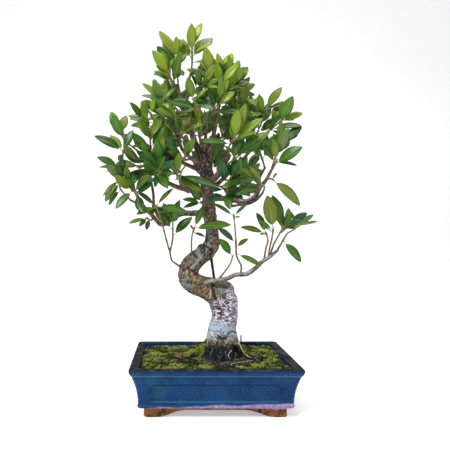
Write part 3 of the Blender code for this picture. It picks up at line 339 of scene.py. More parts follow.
# a column whose way out is this close to an axis stands on a straight side
STRAIGHT = 0.999
# how far the outside lies in from the rim's edge, and its height, in mm: the base bead, the hollow body,
# the cove, and the rim's two rolls
WALL_OUTSIDE = [(16, 16.5), (13.6, 16.5), (12.7, 17.1), (12.3, 18.6), (12.4, 20.2), (13.2, 21.2),
                (13.2, 23), (12.9, 29.1), (11.9, 37.3), (10.3, 45.6), (7.9, 54.2), (5.6, 60.6), (4.9, 62.4),
                (4.7, 63.4), (4.3, 64.4), (3.4, 65.7), (2.2, 67.2), (1.1, 69.2), (0.4, 71.5), (0.0, 73.4),
                (0.2, 74.9), (0.9, 76.0), (2.1, 76.5), (6, 76.3), (11.2, 76.4), (12.6, 76.2), (13.4, 75.3),
                (14.2, 70.0), (15.0, 64.0), (16.0, 58.0), (18.6, 42.0), (20.4, 29.0), (22.5, 25.0)]
PROFILE_STEP = 0.0006
PROFILE_ROUNDING = 0.0004


# %% The outline and the profile of the pot
def outline(columns_long, columns_short, corner_columns=7):
    """Round a rectangle: where each column's corner circle is centred (-1 to 1), and its way outwards."""
    quarter = np.linspace(0, math.pi / 2, corner_columns + 2)[1:-1]
    edge, out = [], []
    for turn, columns in enumerate((columns_short, columns_long, columns_short, columns_long)):
        angle = turn * math.pi / 2
        way = np.array([math.cos(angle), math.sin(angle)])
        aside = np.array([-way[1], way[0]])
        edge.append(way + columns[:, None] * aside)
        out.append(np.repeat(way[None], len(columns), 0))
        corner = way + aside
        edge.append(np.repeat(corner[None], len(quarter), 0))
        out.append(np.stack([np.cos(angle + quarter), np.sin(angle + quarter)], axis=1))
    return np.concatenate(edge).round(6), np.concatenate(out)


def distances(places):
    """How far along its line each place lies: the sum of the chords before it."""
    return np.concatenate([[0], np.cumsum(np.linalg.norm(np.diff(places, axis=0), axis=1))])


def read_along(rows, lengths, wanted):
    """The rows' values at the wanted distances, each between its two neighbours."""
    return np.stack([np.interp(wanted, lengths, column) for column in rows.T], axis=1)


def rounded_profile(rows, step, rounding):
    """The profile read every step and averaged with a bell-shaped weight, which rounds its corners."""
    knots = np.array(rows) * MM
    lengths = distances(knots)
    fine = read_along(knots, lengths, np.linspace(0, lengths[-1], int(lengths[-1] / step)))
    reach = int(3 * rounding / step) + 1
    bell = np.exp(-0.5 * (np.arange(-reach, reach + 1) * step / rounding) ** 2)
    padded = np.pad(fine, ((reach, reach), (0, 0)), mode="edge")
    return np.stack([np.convolve(padded[:, c], bell / bell.sum(), "valid") for c in range(2)], axis=1)


def panel_distance(across, height, half):
    """The distance out of a rectangle with round corners, negative inside it."""
    middle, rise = (PANEL_Z[0] + PANEL_Z[1]) / 2, (PANEL_Z[1] - PANEL_Z[0]) / 2
    x = np.abs(across) - half + PANEL_CORNER
    z = np.abs(height - middle) - rise + PANEL_CORNER
    return np.hypot(np.maximum(x, 0), np.maximum(z, 0)) + np.minimum(np.maximum(x, z), 0) - PANEL_CORNER


def panel_depth(across, height, half):
    """How far the wall is sunk: a smooth step over the distance to the panel's edge."""
    return PANEL_SINK * smooth_step(-panel_distance(across, height, half), -PANEL_SLOPE, PANEL_SLOPE)


def columns_near(half, edge):
    """Places along a side from -1 to 1, close together where the panel ends and wide apart elsewhere."""
    inward, outward = CLOSE_REACH
    ends = np.arange(edge - PANEL_CORNER - inward, edge + outward, CLOSE_COLUMN)
    middle = np.arange(0, ends[0] - WIDE_COLUMN / 2, WIDE_COLUMN)
    rest = np.linspace(ends[-1], half - POT_CORNER, 5)[1:]
    side = np.concatenate([middle, ends, rest]) / (half - POT_CORNER)
    return np.concatenate([-side[:0:-1], side])


def pot_shell():
    """The flared wall from its foot over the rim and down inside to the floor, closed by the two floors."""
    long, short = (columns_near(half, panel) for half, panel in zip(POT_HALF, PANEL_HALF))
    edge, out = outline(long[::-1] * -1, short)
    profile = rounded_profile(WALL_OUTSIDE, PROFILE_STEP, PROFILE_ROUNDING)
    inset, height = profile[:, 0][:, None, None], profile[:, 1][:, None]
    rows, columns = len(profile), len(edge)
    flat = edge * (POT_HALF - POT_CORNER - inset) + out * POT_CORNER
    outside = (np.arange(rows) < np.argmax(profile[:, 1]))[:, None]
    on_short, on_long = np.abs(out.T) > STRAIGHT
    sink = np.where(on_long, panel_depth(flat[..., 0], height, PANEL_HALF[0]), 0)
    sink = np.where(on_short, panel_depth(flat[..., 1], height, PANEL_HALF[1]), sink) * outside
    flat = flat - out * sink[..., None]
    points = np.concatenate([flat, np.broadcast_to(height[..., None], (rows, columns, 1))], axis=2)
    return points.reshape(-1, 3), closed_faces(rows, columns)


def rounded_place(edge, out, half, corner=POT_CORNER):
    """Each column's place on a rectangle of these half sizes: its corner circle's centre + radius out."""
    radius = max(corner, 0.0004)
    return edge * (half - radius) + out * radius


def arch_height(across, mouth, top):
    """The apron's lower edge: level over the middle, sweeping down to the feet as half a cosine wave."""
    share = np.clip((mouth - np.abs(across)) / (mouth - top), 0, 1)
    return ARCH_HEIGHT * (1 - np.cos(math.pi * share)) / 2


def apron_foot():
    """A ring with the arches as its lower edge: each column is a closed loop with rounded corners."""
    edge, out = outline(*(np.linspace(-1, 1, columns) for columns in FOOT_COLUMNS))
    half = POT_HALF - FOOT_INSET
    flat = rounded_place(edge, out, half)
    on_short, on_long = np.abs(out.T) > STRAIGHT
    low = np.where(on_long, arch_height(flat[:, 0], *ARCH_FRONT), 0)
    low = np.where(on_short, arch_height(flat[:, 1], *ARCH_SIDE), low)
    r = FOOT_ROUNDING
    loop = [(0, FOOT_TOP, 0), (0, r, 1), (0.3 * r, 0.3 * r, 1), (r, 0, 1), (FOOT_WIDTH - r, 0, 1),
            (FOOT_WIDTH - 0.3 * r, 0.3 * r, 1), (FOOT_WIDTH, r, 1), (FOOT_WIDTH, FOOT_TOP, 0)]
    rings = []
    for inward, up, moves in loop:
        height = np.maximum(up + low * moves, 0)
        flat = rounded_place(edge, out, half - inward, POT_CORNER - inward)
        rings.append(np.column_stack([flat, height]))
    points = np.stack(rings, axis=1)
    count = len(loop)
    faces = grid_faces(len(edge), count, True)
    last = (len(edge) - 1) * count
    index = np.arange(count)
    seam = np.stack([last + index, last + (index + 1) % count, (index + 1) % count, index], axis=1)
    return points.reshape(-1, 3), [np.concatenate([faces, seam])]


# %% Join the pot
def applied(obj):
    """The object's mesh with its modifiers applied. The object itself is removed."""
    bpy.context.view_layer.update()
    mesh = bpy.data.meshes.new_from_object(obj.evaluated_get(bpy.context.evaluated_depsgraph_get()))
    bpy.data.objects.remove(obj, do_unlink=True)
    return mesh


def boolean(obj, other, operation):
    """Adds the other object to this one, or cuts it away."""
    step = obj.modifiers.new("join", "BOOLEAN")
    step.object = other
    step.operation = operation
    step.solver = "MANIFOLD"


def drain_cutter(side):
    """An upright cylinder as a ring of points swept between two heights."""
    turn = np.linspace(0, 2 * math.pi, DRAIN_SIDES + 1)[:-1]
    ring = np.column_stack([side * DRAIN_X + DRAIN_RADIUS * np.cos(turn), DRAIN_RADIUS * np.sin(turn)])
    points = np.concatenate([np.column_stack([ring, np.full(DRAIN_SIDES, z)]) for z in DRAIN_HEIGHTS])
    return in_scene("drain_cutter", mesh_of("drain_cutter", points, closed_faces(2, DRAIN_SIDES)))


def panel_shading(points, normals):
    """Painted shade along the panel's top and ends, and a painted highlight along its foot: bells of the
    distance to its edges, on the outside of the walls.
    """
    long = np.abs(normals[:, 1]) > np.abs(normals[:, 0])
    across, half = np.where(long, points[:, :2].T, points[:, 1::-1].T)[0], np.where(long, *PANEL_HALF)
    away = panel_distance(across, points[:, 2], half)
    inset = (POT_HALF - np.abs(points[:, :2]))[np.arange(len(points)), long.astype(int)]
    outside = (inset < OUTSIDE_INSET) & (points[:, 2] < OUTSIDE_TOP) & (np.abs(normals[:, 2]) < UPRIGHT)
    low = smooth_step(-points[:, 2], -PANEL_Z[0] - PAINTED_HIGHLIGHT_RISE, -PANEL_Z[0])
    line = np.exp(-(away / PANEL_PAINTED_LINE) ** 2) * outside
    return {"panel_painted_shade": line * (1 - low), "panel_painted_highlight": line * low}


def make_pot(material):
    """The shell joined to its foot, with the two drain holes cut through the floor."""
    pot = in_scene("pot_shell", mesh_of("pot", *pot_shell()))
    foot = in_scene("pot_foot", mesh_of("foot", *apron_foot()))
    others = [(foot, "UNION")] + [(drain_cutter(side), "DIFFERENCE") for side in (-1, 1)]
    for other, operation in others:
        boolean(pot, other, operation)
    mesh = applied(pot)
    for other, _ in others:
        bpy.data.objects.remove(other, do_unlink=True)
    points, normals = points_of(mesh)
    mesh.vertices.foreach_set("co", (points + SHIFT).astype(np.float32).ravel())
    for name, values in panel_shading(points, normals).items():
        set_values(mesh, name, values)
    mesh.materials.clear()
    mesh.polygons.foreach_set("material_index", np.zeros(len(mesh.polygons), np.int32))
    mesh.shade_smooth()
    mesh.set_sharp_from_angle(angle=math.radians(50))
    return show("glazed_pot", mesh, [material], ["pot"])


# %% [markdown]
# ## The glaze
# A blue glaze is a coat of glass over the clay. It runs thin over edges, where it turns pale and brownish,
# and gathers dark in the corners. The pale band on the rim's lower roll is also a painted highlight, and
# the sunk panel is lined with painted shade along its top and ends and a painted highlight along its lower
# edge.
# The glaze stops just above the foot: there the thin glaze is lilac, and the feet are bare clay with stains
# of moss and damp.

# %% The pot's material
def lower_edge(shader, height, slope, wave, wave_size):
    """How far each place lies below a line that rises with X and waves with noise."""
    x = shader.node("ShaderNodeSeparateXYZ", {"Vector": shader.place}).outputs["X"]
    runs = shader.times(shader.math("SUBTRACT", shader.clouds(wave_size, 2, 0.5), 0.5), wave)
    line = shader.math("ADD", shader.times(x, slope), runs)
    return shader.math("ADD", shader.math("SUBTRACT", height, shader.height()), line)


def clay_colour(shader):
    """Orange stoneware with near-black damp stains, moss green in the joints and pale specks."""
    return shader.coats(
        shader.mix(shader.clouds(0.006, 4, 0.65), (0.20, 0.066, 0.022), (0.38, 0.155, 0.055)),
        (shader.step(shader.clouds(0.012, 5, 0.75), 0.44, 0.62), 0.92, (0.016, 0.015, 0.008)),
        (shader.step(shader.clouds(0.016, 3), 0.55, 0.66), 0.75, (0.070, 0.085, 0.018)),
        (shader.step(shader.clouds(0.0016, 2, 0.6), 0.66, 0.74), 0.7, (0.60, 0.52, 0.50)))


def glaze_blue(shader, broad, fine, moved):
    """Deep blue in clouds, with pale specks, bands where it gathers dark or runs thin (the pale one on the
    rim's lower roll also a painted highlight), and lines of painted shade and painted highlight round the
    sunk panel.
    """
    return shader.coats(
        shader.mix(shader.step(broad, 0.3, 0.7), (0.0007, 0.019, 0.074), (0.0025, 0.044, 0.148)),
        (shader.step(fine, 0.45, 0.72), 0.45, (0.008, 0.095, 0.235)),
        (shader.step(shader.clouds(0.0011, 2, 0.6), 0.64, 0.74), 0.5, (0.10, 0.22, 0.38)),
        (shader.step(shader.clouds(0.05, 2), 0.55, 0.75), 0.45, (0.006, 0.085, 0.135)),
        (shader.band(moved, 0.0636, 0.0012), 0.45, (0.001, 0.010, 0.032)),
        # the pale band on the rim's lower roll: glaze running thin there, with a painted highlight on it as
        # well
        (shader.band(moved, 0.0672, 0.0020), 0.40, (0.060, 0.170, 0.300)),
        (shader.band(moved, 0.0738, 0.0024), 0.65, (0.003, 0.014, 0.026)),
        # painted shade along the top and ends of the sunk panel, and a painted highlight along its lower
        # edge
        (shader.value("panel_painted_shade"), 0.75, (0.001, 0.010, 0.034)),
        (shader.value("panel_painted_highlight"), 0.60, (0.045, 0.150, 0.280)),
        (shader.band(moved, 0.0205, 0.0015), 0.40, (0.040, 0.130, 0.250)))


def glaze_material():
    """The blue glaze with a worn, dusty rim and a lilac band above the bare clay of the feet."""
    shader = Shader("blue_glaze", 0.2, 0.12)
    broad = shader.clouds(0.035, 4)
    fine = shader.clouds(0.0024, 3, 0.7)
    wander = shader.times(shader.math("SUBTRACT", shader.clouds(0.008, 3), 0.5), 0.0022)
    moved = shader.math("ADD", shader.height(), wander)
    rim = shader.step(moved, 0.0748, 0.0762)
    worn = shader.step(shader.clouds(0.014, 4), 0.40, 0.66)
    dusty = shader.mix(worn, (0.006, 0.007, 0.006), (0.064, 0.050, 0.030))
    colour = shader.coats(glaze_blue(shader, broad, fine, moved), (rim, 0.92, dusty))
    thin = shader.step(lower_edge(shader, 0.0206, 0.028, 0.0060, 0.030), 0.0, 0.0009)
    runs = shader.step(shader.clouds(0.005, 3), 0.35, 0.7)
    lilac = shader.mix(runs, (0.19, 0.145, 0.28), (0.37, 0.27, 0.44))
    white = shader.step(shader.clouds(0.0015, 2, 0.6), 0.66, 0.74)
    colour = shader.mix(thin, colour, shader.coats(lilac, (white, 0.45, (0.80, 0.72, 0.74))))
    bare = shader.step(lower_edge(shader, 0.0146, -0.022, 0.0060, 0.012), -0.0003, 0.0005)
    colour = shader.mix(bare, colour, clay_colour(shader))

    rough = shader.blend(rim, shader.blend(fine, 0.14, 0.34), 0.9)
    rough = shader.blend(thin, rough, 0.42)
    rough = shader.blend(bare, rough, 0.92)
    bump = shader.math("ADD", shader.times(broad, 1.2), shader.times(fine, 0.22))
    return shader.finish(colour, rough, bump, 0.0005)


pot = make_pot(glaze_material())
print("pot:", len(pot.data.polygons), "faces")

# %% [markdown]
# ## The soil
# The packed soil is mounded towards the trunk. Its top is a height worked out at every point, with crumbs
# from noise, inside the same rounded rectangle as the pot's inner wall. Moss covers part of it: a value
# kept at each point says how much, and the colour, the height and later the tufts all follow that one
# value.

# %% The soil's sizes
SOIL_EDGE = 0.0690
SOIL_MOUND = 0.0055
MOUND_MIDDLE = (0.016, 0.0)
MOUND_REACH = 0.060
SOIL_HALF = POT_HALF - 0.0146
SOIL_BOTTOM = 0.0268
SOIL_BOTTOM_HALF = POT_HALF - 0.0225
SOIL_CORNER = 0.004
SOIL_COLUMNS = (110, 80)
SOIL_RINGS = 96
LAST_RING = 0.002
# where the moss cushions lie: middle x and y, and reach along x and y, in mm
MOSS_PATCHES = [(-74, -50, 44, 30), (-98, -10, 24, 46), (-34, -66, 40, 14), (-60, 24, 40, 30),
                (-86, 62, 34, 26), (-26, 58, 44, 26), (72, -36, 34, 30), (96, -58, 26, 24),
                (88, 12, 32, 36), (52, 60, 44, 24), (98, 58, 22, 26), (-22, -34, 22, 24),
                (46, -68, 40, 12)]
# where fine roots keep the moss away round the trunk: middle x and y, and reach along x and y
ROOT_ZONE = (0.016, -0.020, 0.044, 0.050)


def moss_at(x, y):
    """How mossy each place is, from 0 to 1: bell-shaped patches broken up by noise."""
    total = np.zeros(np.shape(x))
    for middle_x, middle_y, reach_x, reach_y in MOSS_PATCHES:
        away = ((x / MM - middle_x) / reach_x) ** 2 + ((y / MM - middle_y) / reach_y) ** 2
        total = np.maximum(total, np.exp(-away))
    place = np.stack([x, y, np.zeros(np.shape(x))], axis=-1)
    middle_x, middle_y, reach_x, reach_y = ROOT_ZONE
    bare_root = np.exp(-(np.hypot((x - middle_x) / reach_x, (y - middle_y) / reach_y) ** 4))
    return smooth_step(total + 0.34 * layered(place, 0.012, 3, 5), 0.28, 0.60) * (1 - bare_root)


def soil_height(x, y):
    """Level near the walls, mounded towards the trunk, with small waves."""
    mound = SOIL_MOUND * np.exp(-((np.hypot(x - MOUND_MIDDLE[0], y - MOUND_MIDDLE[1]) / MOUND_REACH) ** 2))
    waves = 0.0007 * np.sin(x * 95 + 1.3) * np.cos(y * 110) + 0.0005 * np.sin(x * 210 - y * 160)
    return SOIL_EDGE + mound + waves


def soil_top(x, y):
    """The soil's height with crumbs of earth between the moss, and soft cushions under it."""
    place = np.stack([x, y, np.zeros(np.shape(x))], axis=-1)
    moss = moss_at(x, y)
    crumbs = 0.0012 * layered(place, 0.0042, 3, 11) * (1 - 0.5 * moss)
    cushions = 0.0018 * moss * (1 + 0.9 * noise(place, 0.010, 21))
    return soil_height(x, y) + crumbs + cushions


def make_soil(material):
    """Rings that shrink to the middle make the top. The same outline carried down makes the sides."""
    edge, out = outline(*(np.linspace(-1, 1, columns) for columns in SOIL_COLUMNS))
    shares = np.linspace(1, LAST_RING, SOIL_RINGS)
    rim = rounded_place(edge, out, SOIL_HALF, SOIL_CORNER)
    foot = rounded_place(edge, out, SOIL_BOTTOM_HALF, SOIL_CORNER)
    flat = shares[:, None, None] * rim
    top = np.concatenate([flat, soil_top(flat[..., 0], flat[..., 1])[..., None]], axis=2)
    base = np.column_stack([foot, np.full(len(foot), SOIL_BOTTOM)])
    points = np.concatenate([base[None], top])
    rows, columns = points.shape[:2]
    points = points.reshape(-1, 3)
    mesh = mesh_of("soil", points + SHIFT, closed_faces(rows, columns))
    set_values(mesh, "moss", moss_at(points[:, 0], points[:, 1]))
    return show("soil_bed", mesh, [material], ["soil"])


def soil_material():
    """Near-black earth with lighter crumbs and fibres, greener where the moss value is high."""
    shader = Shader("soil_earth", 0.95, 0.2)
    crumbs = shader.clouds(0.0025, 4, 0.7)
    grains = shader.step(shader.clouds(0.0016, 2, 0.6), 0.6, 0.72)
    earth = shader.mix(shader.step(crumbs, 0.35, 0.7), (0.005, 0.005, 0.006), (0.040, 0.032, 0.024))
    earth = shader.coats(earth, (grains, 0.5, (0.16, 0.12, 0.085)))
    tufts = shader.step(shader.clouds(0.004, 3, 0.6), 0.35, 0.7)
    moss = shader.mix(tufts, (0.014, 0.018, 0.004), (0.075, 0.085, 0.012))
    return shader.finish(shader.mix(shader.value("moss"), earth, moss), None, crumbs, 0.0015)


soil = make_soil(soil_material())
print("soil:", len(soil.data.polygons), "faces")

# %% [markdown]
# ## Where the wood runs
# The tree's lines were drawn on the front view. Each route is a list of places, as u to the right and v
# down in the frame, with the depth behind the pot's middle and the wood's radius in millimetres. The eye's
# position turns each into a place in space, and a smooth curve joins them.

# %% The routes of the trunk, its branches and roots
# Trunk: u, v, depth, radius in mm
TRUNK = [(221.0, 346, 0, 24), (221.6, 337, 0, 24.5), (222, 330, 0, 23.3), (223.4, 322, 0, 21.9),
         (224.5, 314, 0, 22), (224.2, 306, 0, 23), (221.5, 298.5, -1, 24), (215, 292, -3, 21.5),
         (206, 288, -4, 19), (197, 285, -4, 18.4), (190.5, 279.5, -2, 17.8), (188.6, 271, 2, 17),
         (192, 263.5, 6, 16), (199, 257.5, 10, 15), (206, 252, 12, 14.6), (210.8, 246, 12, 14.2),
         (212, 238, 10, 12.2), (212, 229, 8, 10.4), (210.6, 221.5, 8, 10.9), (209, 213, 8, 11.4),
         (208.6, 206, 8, 11.6), (208.2, 197, 8, 10), (206.5, 188, 8, 10.6), (207.4, 180.5, 8, 10.4),
         (205.5, 170, 8, 12), (202.5, 161, 8, 12.5), (201.5, 153, 8, 9.5)]
# middle u, v, depth, and half sizes in mm of the swellings
SWELLINGS = [(223.6, 291.5, -1, 18.5, 18, 17.5), (202.5, 161, 8, 15, 13, 12), (202, 249, 3, 8, 7, 9),
             (209.5, 216, 8, 12.5, 12, 7), (184, 267, 4, 9, 10, 8)]
# height in mm, middle x in mm, radius in mm and depth of the ribs of the root flare
FLARE = [(46, 15.5, 24, 0.10), (56, 15.5, 31, 0.14), (66, 15.5, 35.5, 0.16), (73, 15.3, 35.5, 0.15),
         (80, 15.3, 33, 0.13), (90, 15.5, 29.5, 0.09), (103, 17.0, 26, 0.05), (117, 18.0, 23.3, 0.02)]
# times that a wave goes round, its turn and its weight
FLARE_WAVES = [(5, 0.6, 1.0), (8, 2.0, 0.5)]
FLARE_DEPTH = 0.96

# Branches: name, then u, v, depth, radius in mm
BRANCHES = [
    ("air_root", [(211.2, 258, 8, 2.6), (212.2, 265, 2, 2.4), (213.2, 272, -8, 2.3),
     (214.4, 279.6, -22, 2.3)]),
    ("left_leader", [(201.5, 157, 8, 8.5), (196.5, 146, 8, 5.6), (192.5, 136, 8, 4.8), (189.5, 125, 8, 4.4),
     (187.2, 114, 8, 4), (186.3, 104, 8, 3.6), (187.8, 92, 8, 3), (188.6, 82, 8, 2.4),
     (190.5, 74, 8, 1.9)]),
    ("left_leader_fork", [(186.6, 108, 8, 3), (182.5, 100, 9, 2.6), (179.4, 92, 10, 2.4),
     (178.3, 85, 10, 1.9)]),
    ("right_leader", [(204, 159, 8, 8), (211, 148, 7, 5), (212.8, 138, 5, 4), (215.2, 127, 2, 3.6),
     (217.2, 117, 0, 3.2), (218.6, 110, 0, 2.8)]),
    ("middle_leader", [(203, 152, 4, 5), (205.4, 140, -3, 3.2), (206.2, 130, -9, 2.7),
     (206.8, 124, -12, 2.3)]),
    ("upper_left", [(203, 165, 4, 5), (195.5, 161, -6, 4), (186, 154, -15, 3.2), (180.5, 146, -18, 3),
     (178.3, 137, -20, 2.8), (176.2, 124, -22, 2.5), (173.8, 111, -24, 2.3), (170.8, 101, -25, 2)]),
    ("left_high", [(203, 171, 10, 5), (192, 167, 22, 3.8), (180, 161, 26, 3.4), (171.5, 155, 24, 3),
     (165.5, 148.5, 20, 2.8), (161, 141, 14, 2.5), (161, 134, 8, 2.1)]),
    ("left_main", [(205, 195, 6, 6), (194, 191.3, -2, 4.6), (182, 188.6, -10, 4), (170.5, 184, -16, 3.6),
     (160.5, 178, -20, 3.4), (152.5, 171.3, -22, 3.2), (147, 163.8, -24, 2.8), (142.5, 156.5, -26, 2.5),
     (137.5, 150.8, -27, 2.1)]),
    ("left_low", [(208, 213, 4, 6), (194, 213.3, -6, 5), (182, 213.4, -14, 4.9), (173.5, 217, -20, 5),
     (166, 221.8, -24, 4.6)]),
    ("left_low_turn", [(167.5, 223, -24, 3.6), (163.3, 226.3, -26, 3.7), (157.3, 221.2, -28, 3.4),
     (151, 214, -29, 3.3), (143.4, 206.5, -29, 3), (137.8, 197, -28, 2.8), (133, 187.5, -28, 2.6),
     (127.4, 177.5, -31, 2.4), (123, 170.7, -34, 2.1)]),
    ("left_low_outer", [(142.5, 205.5, -29, 2.4), (137, 205, -30, 2.1), (131, 200.5, -32, 1.9)]),
    ("left_low_riser", [(152, 215, -29, 2.9), (153.6, 204, -26, 2.5), (153.3, 194, -22, 2.3),
     (151.3, 182, -14, 2.2), (150.4, 175, -12, 1.9)]),
    ("limb_twig", [(184, 269, 0, 3), (178, 265, -14, 1.8), (171.3, 259.5, -22, 1.6), (169.6, 251, -26, 1.6),
     (166.8, 241.5, -32, 1.5), (164.4, 232, -38, 1.4)]),
    ("right_top", [(208, 184, 4, 6.5), (217.5, 175.5, -4, 5.2), (222.4, 167, -9, 4.8), (226, 158, -14, 4.2),
     (227.8, 150.5, -19, 3.2)]),
    ("right_middle", [(208, 190, 10, 6), (218.5, 183, 14, 4), (228, 174, 18, 3.4), (236, 166, 20, 3),
     (244, 158, 18, 2.8), (251, 150, 12, 2.4), (256.5, 142, 6, 2)]),
    ("right_main", [(209, 199, 2, 6), (220, 198.2, -8, 4.8), (230, 199.6, -15, 4.5),
     (240.5, 200.9, -20, 4.5), (249.5, 201.2, -24, 4.6), (254.5, 197.5, -26, 4.4), (257.8, 190, -27, 3.9),
     (263.5, 183.6, -29, 3.4), (268, 177, -29, 2.9), (270.8, 171, -28, 2.4)]),
    ("right_main_inner", [(256, 195, -26, 3.2), (257.5, 185, -18, 2.4), (260.5, 176, -12, 2.2),
     (264.8, 168, -9, 1.9)]),
    ("right_under", [(228.5, 199.5, -14, 3), (229.3, 205.5, -18, 2.4), (238, 204.8, -26, 2.4),
     (248.5, 203.6, -33, 2.4), (257, 199.5, -37, 2.2), (262.5, 193, -39, 1.9)]),
    ("right_low", [(202, 288, -12, 6), (208, 282.6, -21, 4.8), (216, 280.6, -25, 4.2), (225, 279, -26, 3.9),
     (232, 277.2, -26, 3.8), (238, 274, -26, 3.8), (246.5, 274, -26, 3.9), (252.5, 270.6, -26, 3.7),
     (259, 264.8, -27, 3.5), (265, 258.8, -28, 3.3), (273, 255.3, -29, 2.7), (277.2, 250.5, -30, 2.3)]),
]
BRANCH_STEP = 0.016
TRUNK_STEP = 0.013
TRUNK_SIDES = 10

# Roots that run over the soil and down into it: u, v, depth, radius in mm
ROOTS = [
    [(234, 342, -12, 6), (243, 350, -24, 3.6), (252, 358.5, -34, 2.8), (262, 368, -46, 2.2)],
    [(222, 354, -30, 6), (218, 364, -44, 3.6), (212, 374, -58, 2.6)],
    [(207, 345, -6, 7), (198, 351.5, -8, 4.4), (188, 359.5, -6, 3)],
    [(226, 343, 18, 7), (232, 346.5, 38, 4), (239, 351, 58, 2.8)],
    [(212, 344, 18, 7), (203, 347.6, 38, 4), (193, 352.5, 60, 2.8)],
]
ROOT_STEP = 0.012

# %% From the front view to space
def seen(u, v, depth):
    """The point at this depth (mm) that the eye sees at the front view's (u, v)."""
    scale = (depth * MM - EYE.y) / VIEW_FOCUS
    return Vector((EYE.x + (u - VIEW_AXIS[0]) * scale, depth * MM, EYE.z - (v - VIEW_AXIS[1]) * scale))


# room that leaves keep from wood, and the sizes of a shoot's twig
WOOD_ROOM = 0.0006
SHOOT_RADIUS = 0.0014
SHOOT_TIP_RADIUS = 0.0010
SHOOT_STEP = 0.016
FINE_STEP = 0.003
# the part of a shoot's route that may lie in its branch
BASE_LENGTH = 0.008


def smooth_route(controls, step):
    """A Catmull-Rom curve through the controls (rows of x, y, z and perhaps a radius), read every step."""
    knots = np.array(controls, float)
    padded = np.vstack([2 * knots[0] - knots[1], knots, 2 * knots[-1] - knots[-2]])
    fine = []
    for k in range(1, len(padded) - 2):
        p0, p1, p2, p3 = padded[k - 1:k + 3]
        for t in np.linspace(0, 1, 8, endpoint=False):
            fine.append(0.5 * (2 * p1 + (p2 - p0) * t + (2 * p0 - 5 * p1 + 4 * p2 - p3) * t * t
                               + (3 * p1 - p0 - 3 * p2 + p3) * t ** 3))
    fine.append(knots[-1])
    fine = np.array(fine)
    lengths = distances(fine[:, :3])
    count = max(2, int(round(lengths[-1] / step)) + 1)
    return read_along(fine, lengths, np.linspace(0, lengths[-1], count))


def drawn_route(rows, step):
    """The smooth route in metres of rows of u, v, depth and radius in mm."""
    return smooth_route([[*seen(u, v, d), r * MM] for u, v, d, r in rows], step)


def skin(route, sides=6, grow=WOOD_ROOM):
    """Points and triangles of a tube along the route, a little fatter, to test for crossings."""
    places, radii = route[:, :3], route[:, 3] + grow
    ahead = np.gradient(places, axis=0)
    ahead /= np.linalg.norm(ahead, axis=1)[:, None]
    helper = np.where(np.abs(ahead[:, [1]]) < 0.9, [[0.0, 1, 0]], [[1.0, 0, 0]])
    side = np.cross(ahead, helper)
    side /= np.linalg.norm(side, axis=1)[:, None]
    up = np.cross(side, ahead)
    points = []
    for k in range(sides):
        angle = 2 * math.pi * k / sides
        points.append(places + radii[:, None] * (math.cos(angle) * side + math.sin(angle) * up))
    a, b, c, d = grid_faces(len(route), sides, True).T
    triangles = np.stack([a, b, c, a, c, d], axis=1).reshape(-1, 3)
    return np.stack(points, axis=1).reshape(-1, 3), triangles.tolist()


def route_point(route, share):
    """The place this share of the way along a route."""
    lengths = distances(route[:, :3])
    wanted = min(max(share, 0), 1) * lengths[-1]
    return Vector([float(np.interp(wanted, lengths, route[:, c])) for c in range(3)])


def shoot_route(rows):
    """The shoot's whole route from its branch's middle, with its tapering radius."""
    places = [[*seen(u, v, d)] for u, v, d in rows]
    route = smooth_route(places, FINE_STEP)
    radii = np.linspace(SHOOT_RADIUS, SHOOT_TIP_RADIUS, len(route))
    return np.column_stack([route, radii])


def read_route(route, wanted):
    """The route's rows at these distances along it."""
    return read_along(route, distances(route[:, :3]), wanted)


def shoot_parts(route):
    """The shoot's base, which starts inside its branch, and the twig beyond it, whose chords are longer."""
    length = np.linalg.norm(np.diff(route[:, :3], axis=0), axis=1).sum()
    count = max(2, int(round((length - BASE_LENGTH) / SHOOT_STEP)) + 1)
    return read_route(route, [0, BASE_LENGTH]), read_route(route, np.linspace(BASE_LENGTH, length, count))


def branch_route(rows):
    """A branch's route, run on by its end radius so that a shoot's stub starts inside it."""
    route = drawn_route(rows, BRANCH_STEP)
    ahead = route[-1, :3] - route[-2, :3]
    route[-1, :3] += ahead / np.linalg.norm(ahead) * route[-1, 3]
    return route


# %% [markdown]
# ## Where the leaves grow
# Leaves that the front view shows end where it shows their tips. The others follow the rule of the plant:
# each turns by the golden angle from the one below and leans out less towards the shoot's tip. A leaf that
# would cross wood or another leaf turns or shortens until it is clear.

# %% The shoots
# A leaf: shares of its length and width, and thicknesses in metres
LEAF_WIDTH = 0.48
LEAF_THICK = 0.0013
STALK_RADIUS = 0.00065
STALK_SHARE = 0.17
STALK_MOST = 0.008
# share of the blade's length, share of its half width
BLADE = [(0.26, 0.92), (0.64, 0.90)]
BLADE_BOW = 0.05
STALK_TESTED_FROM = 0.003
LEAF_ROOM = 0.0005
# the length of the leaves that the rule adds, where the first grows, and how far they lean out in degrees
GROWN_LEAF = 0.048
FIRST_LEAF = 0.2
LEAN_LOW = 66
LEAN_TIP = 28
# the crown's middle lies this far behind the pot's, and leaves reach less far in depth by this share
CROWN_DEPTH = 0.022
FANNED = 0.6
# the way that a blade faces: its sway aside and how fast that turns, towards the viewer, up, and outwards
FACING_SWAY = 0.4
SWAY_TURN = 9
FACING_FRONT = 0.8
FACING_UP = 0.5
FACING_OUT = 0.25
# a drawn leaf faces the viewer and up, and rolls aside by these shares until it is clear
SHOWN_UP = 0.75
SHOWN_ROLLS = (0, 0.5, -0.5)
ROLLED_UP = 0.3
# the turn between shoots, the lift of the leaves, and how their length and width vary along a shoot
SHOOT_TURN = 1.7
LEAF_LIFT = 0.12
LOWEST_LENGTH = 1.08
LENGTH_FALL = 0.22
LENGTH_SWAY = 0.1
WIDTH_SWAY = 0.08
SHARE_AROUND = 0.1
EDGE_ON = 0.93
GOLDEN_TURN = math.radians(137.5)
# a way that no twig runs along
ASLANT = Vector((0.3, 0.2, 1))
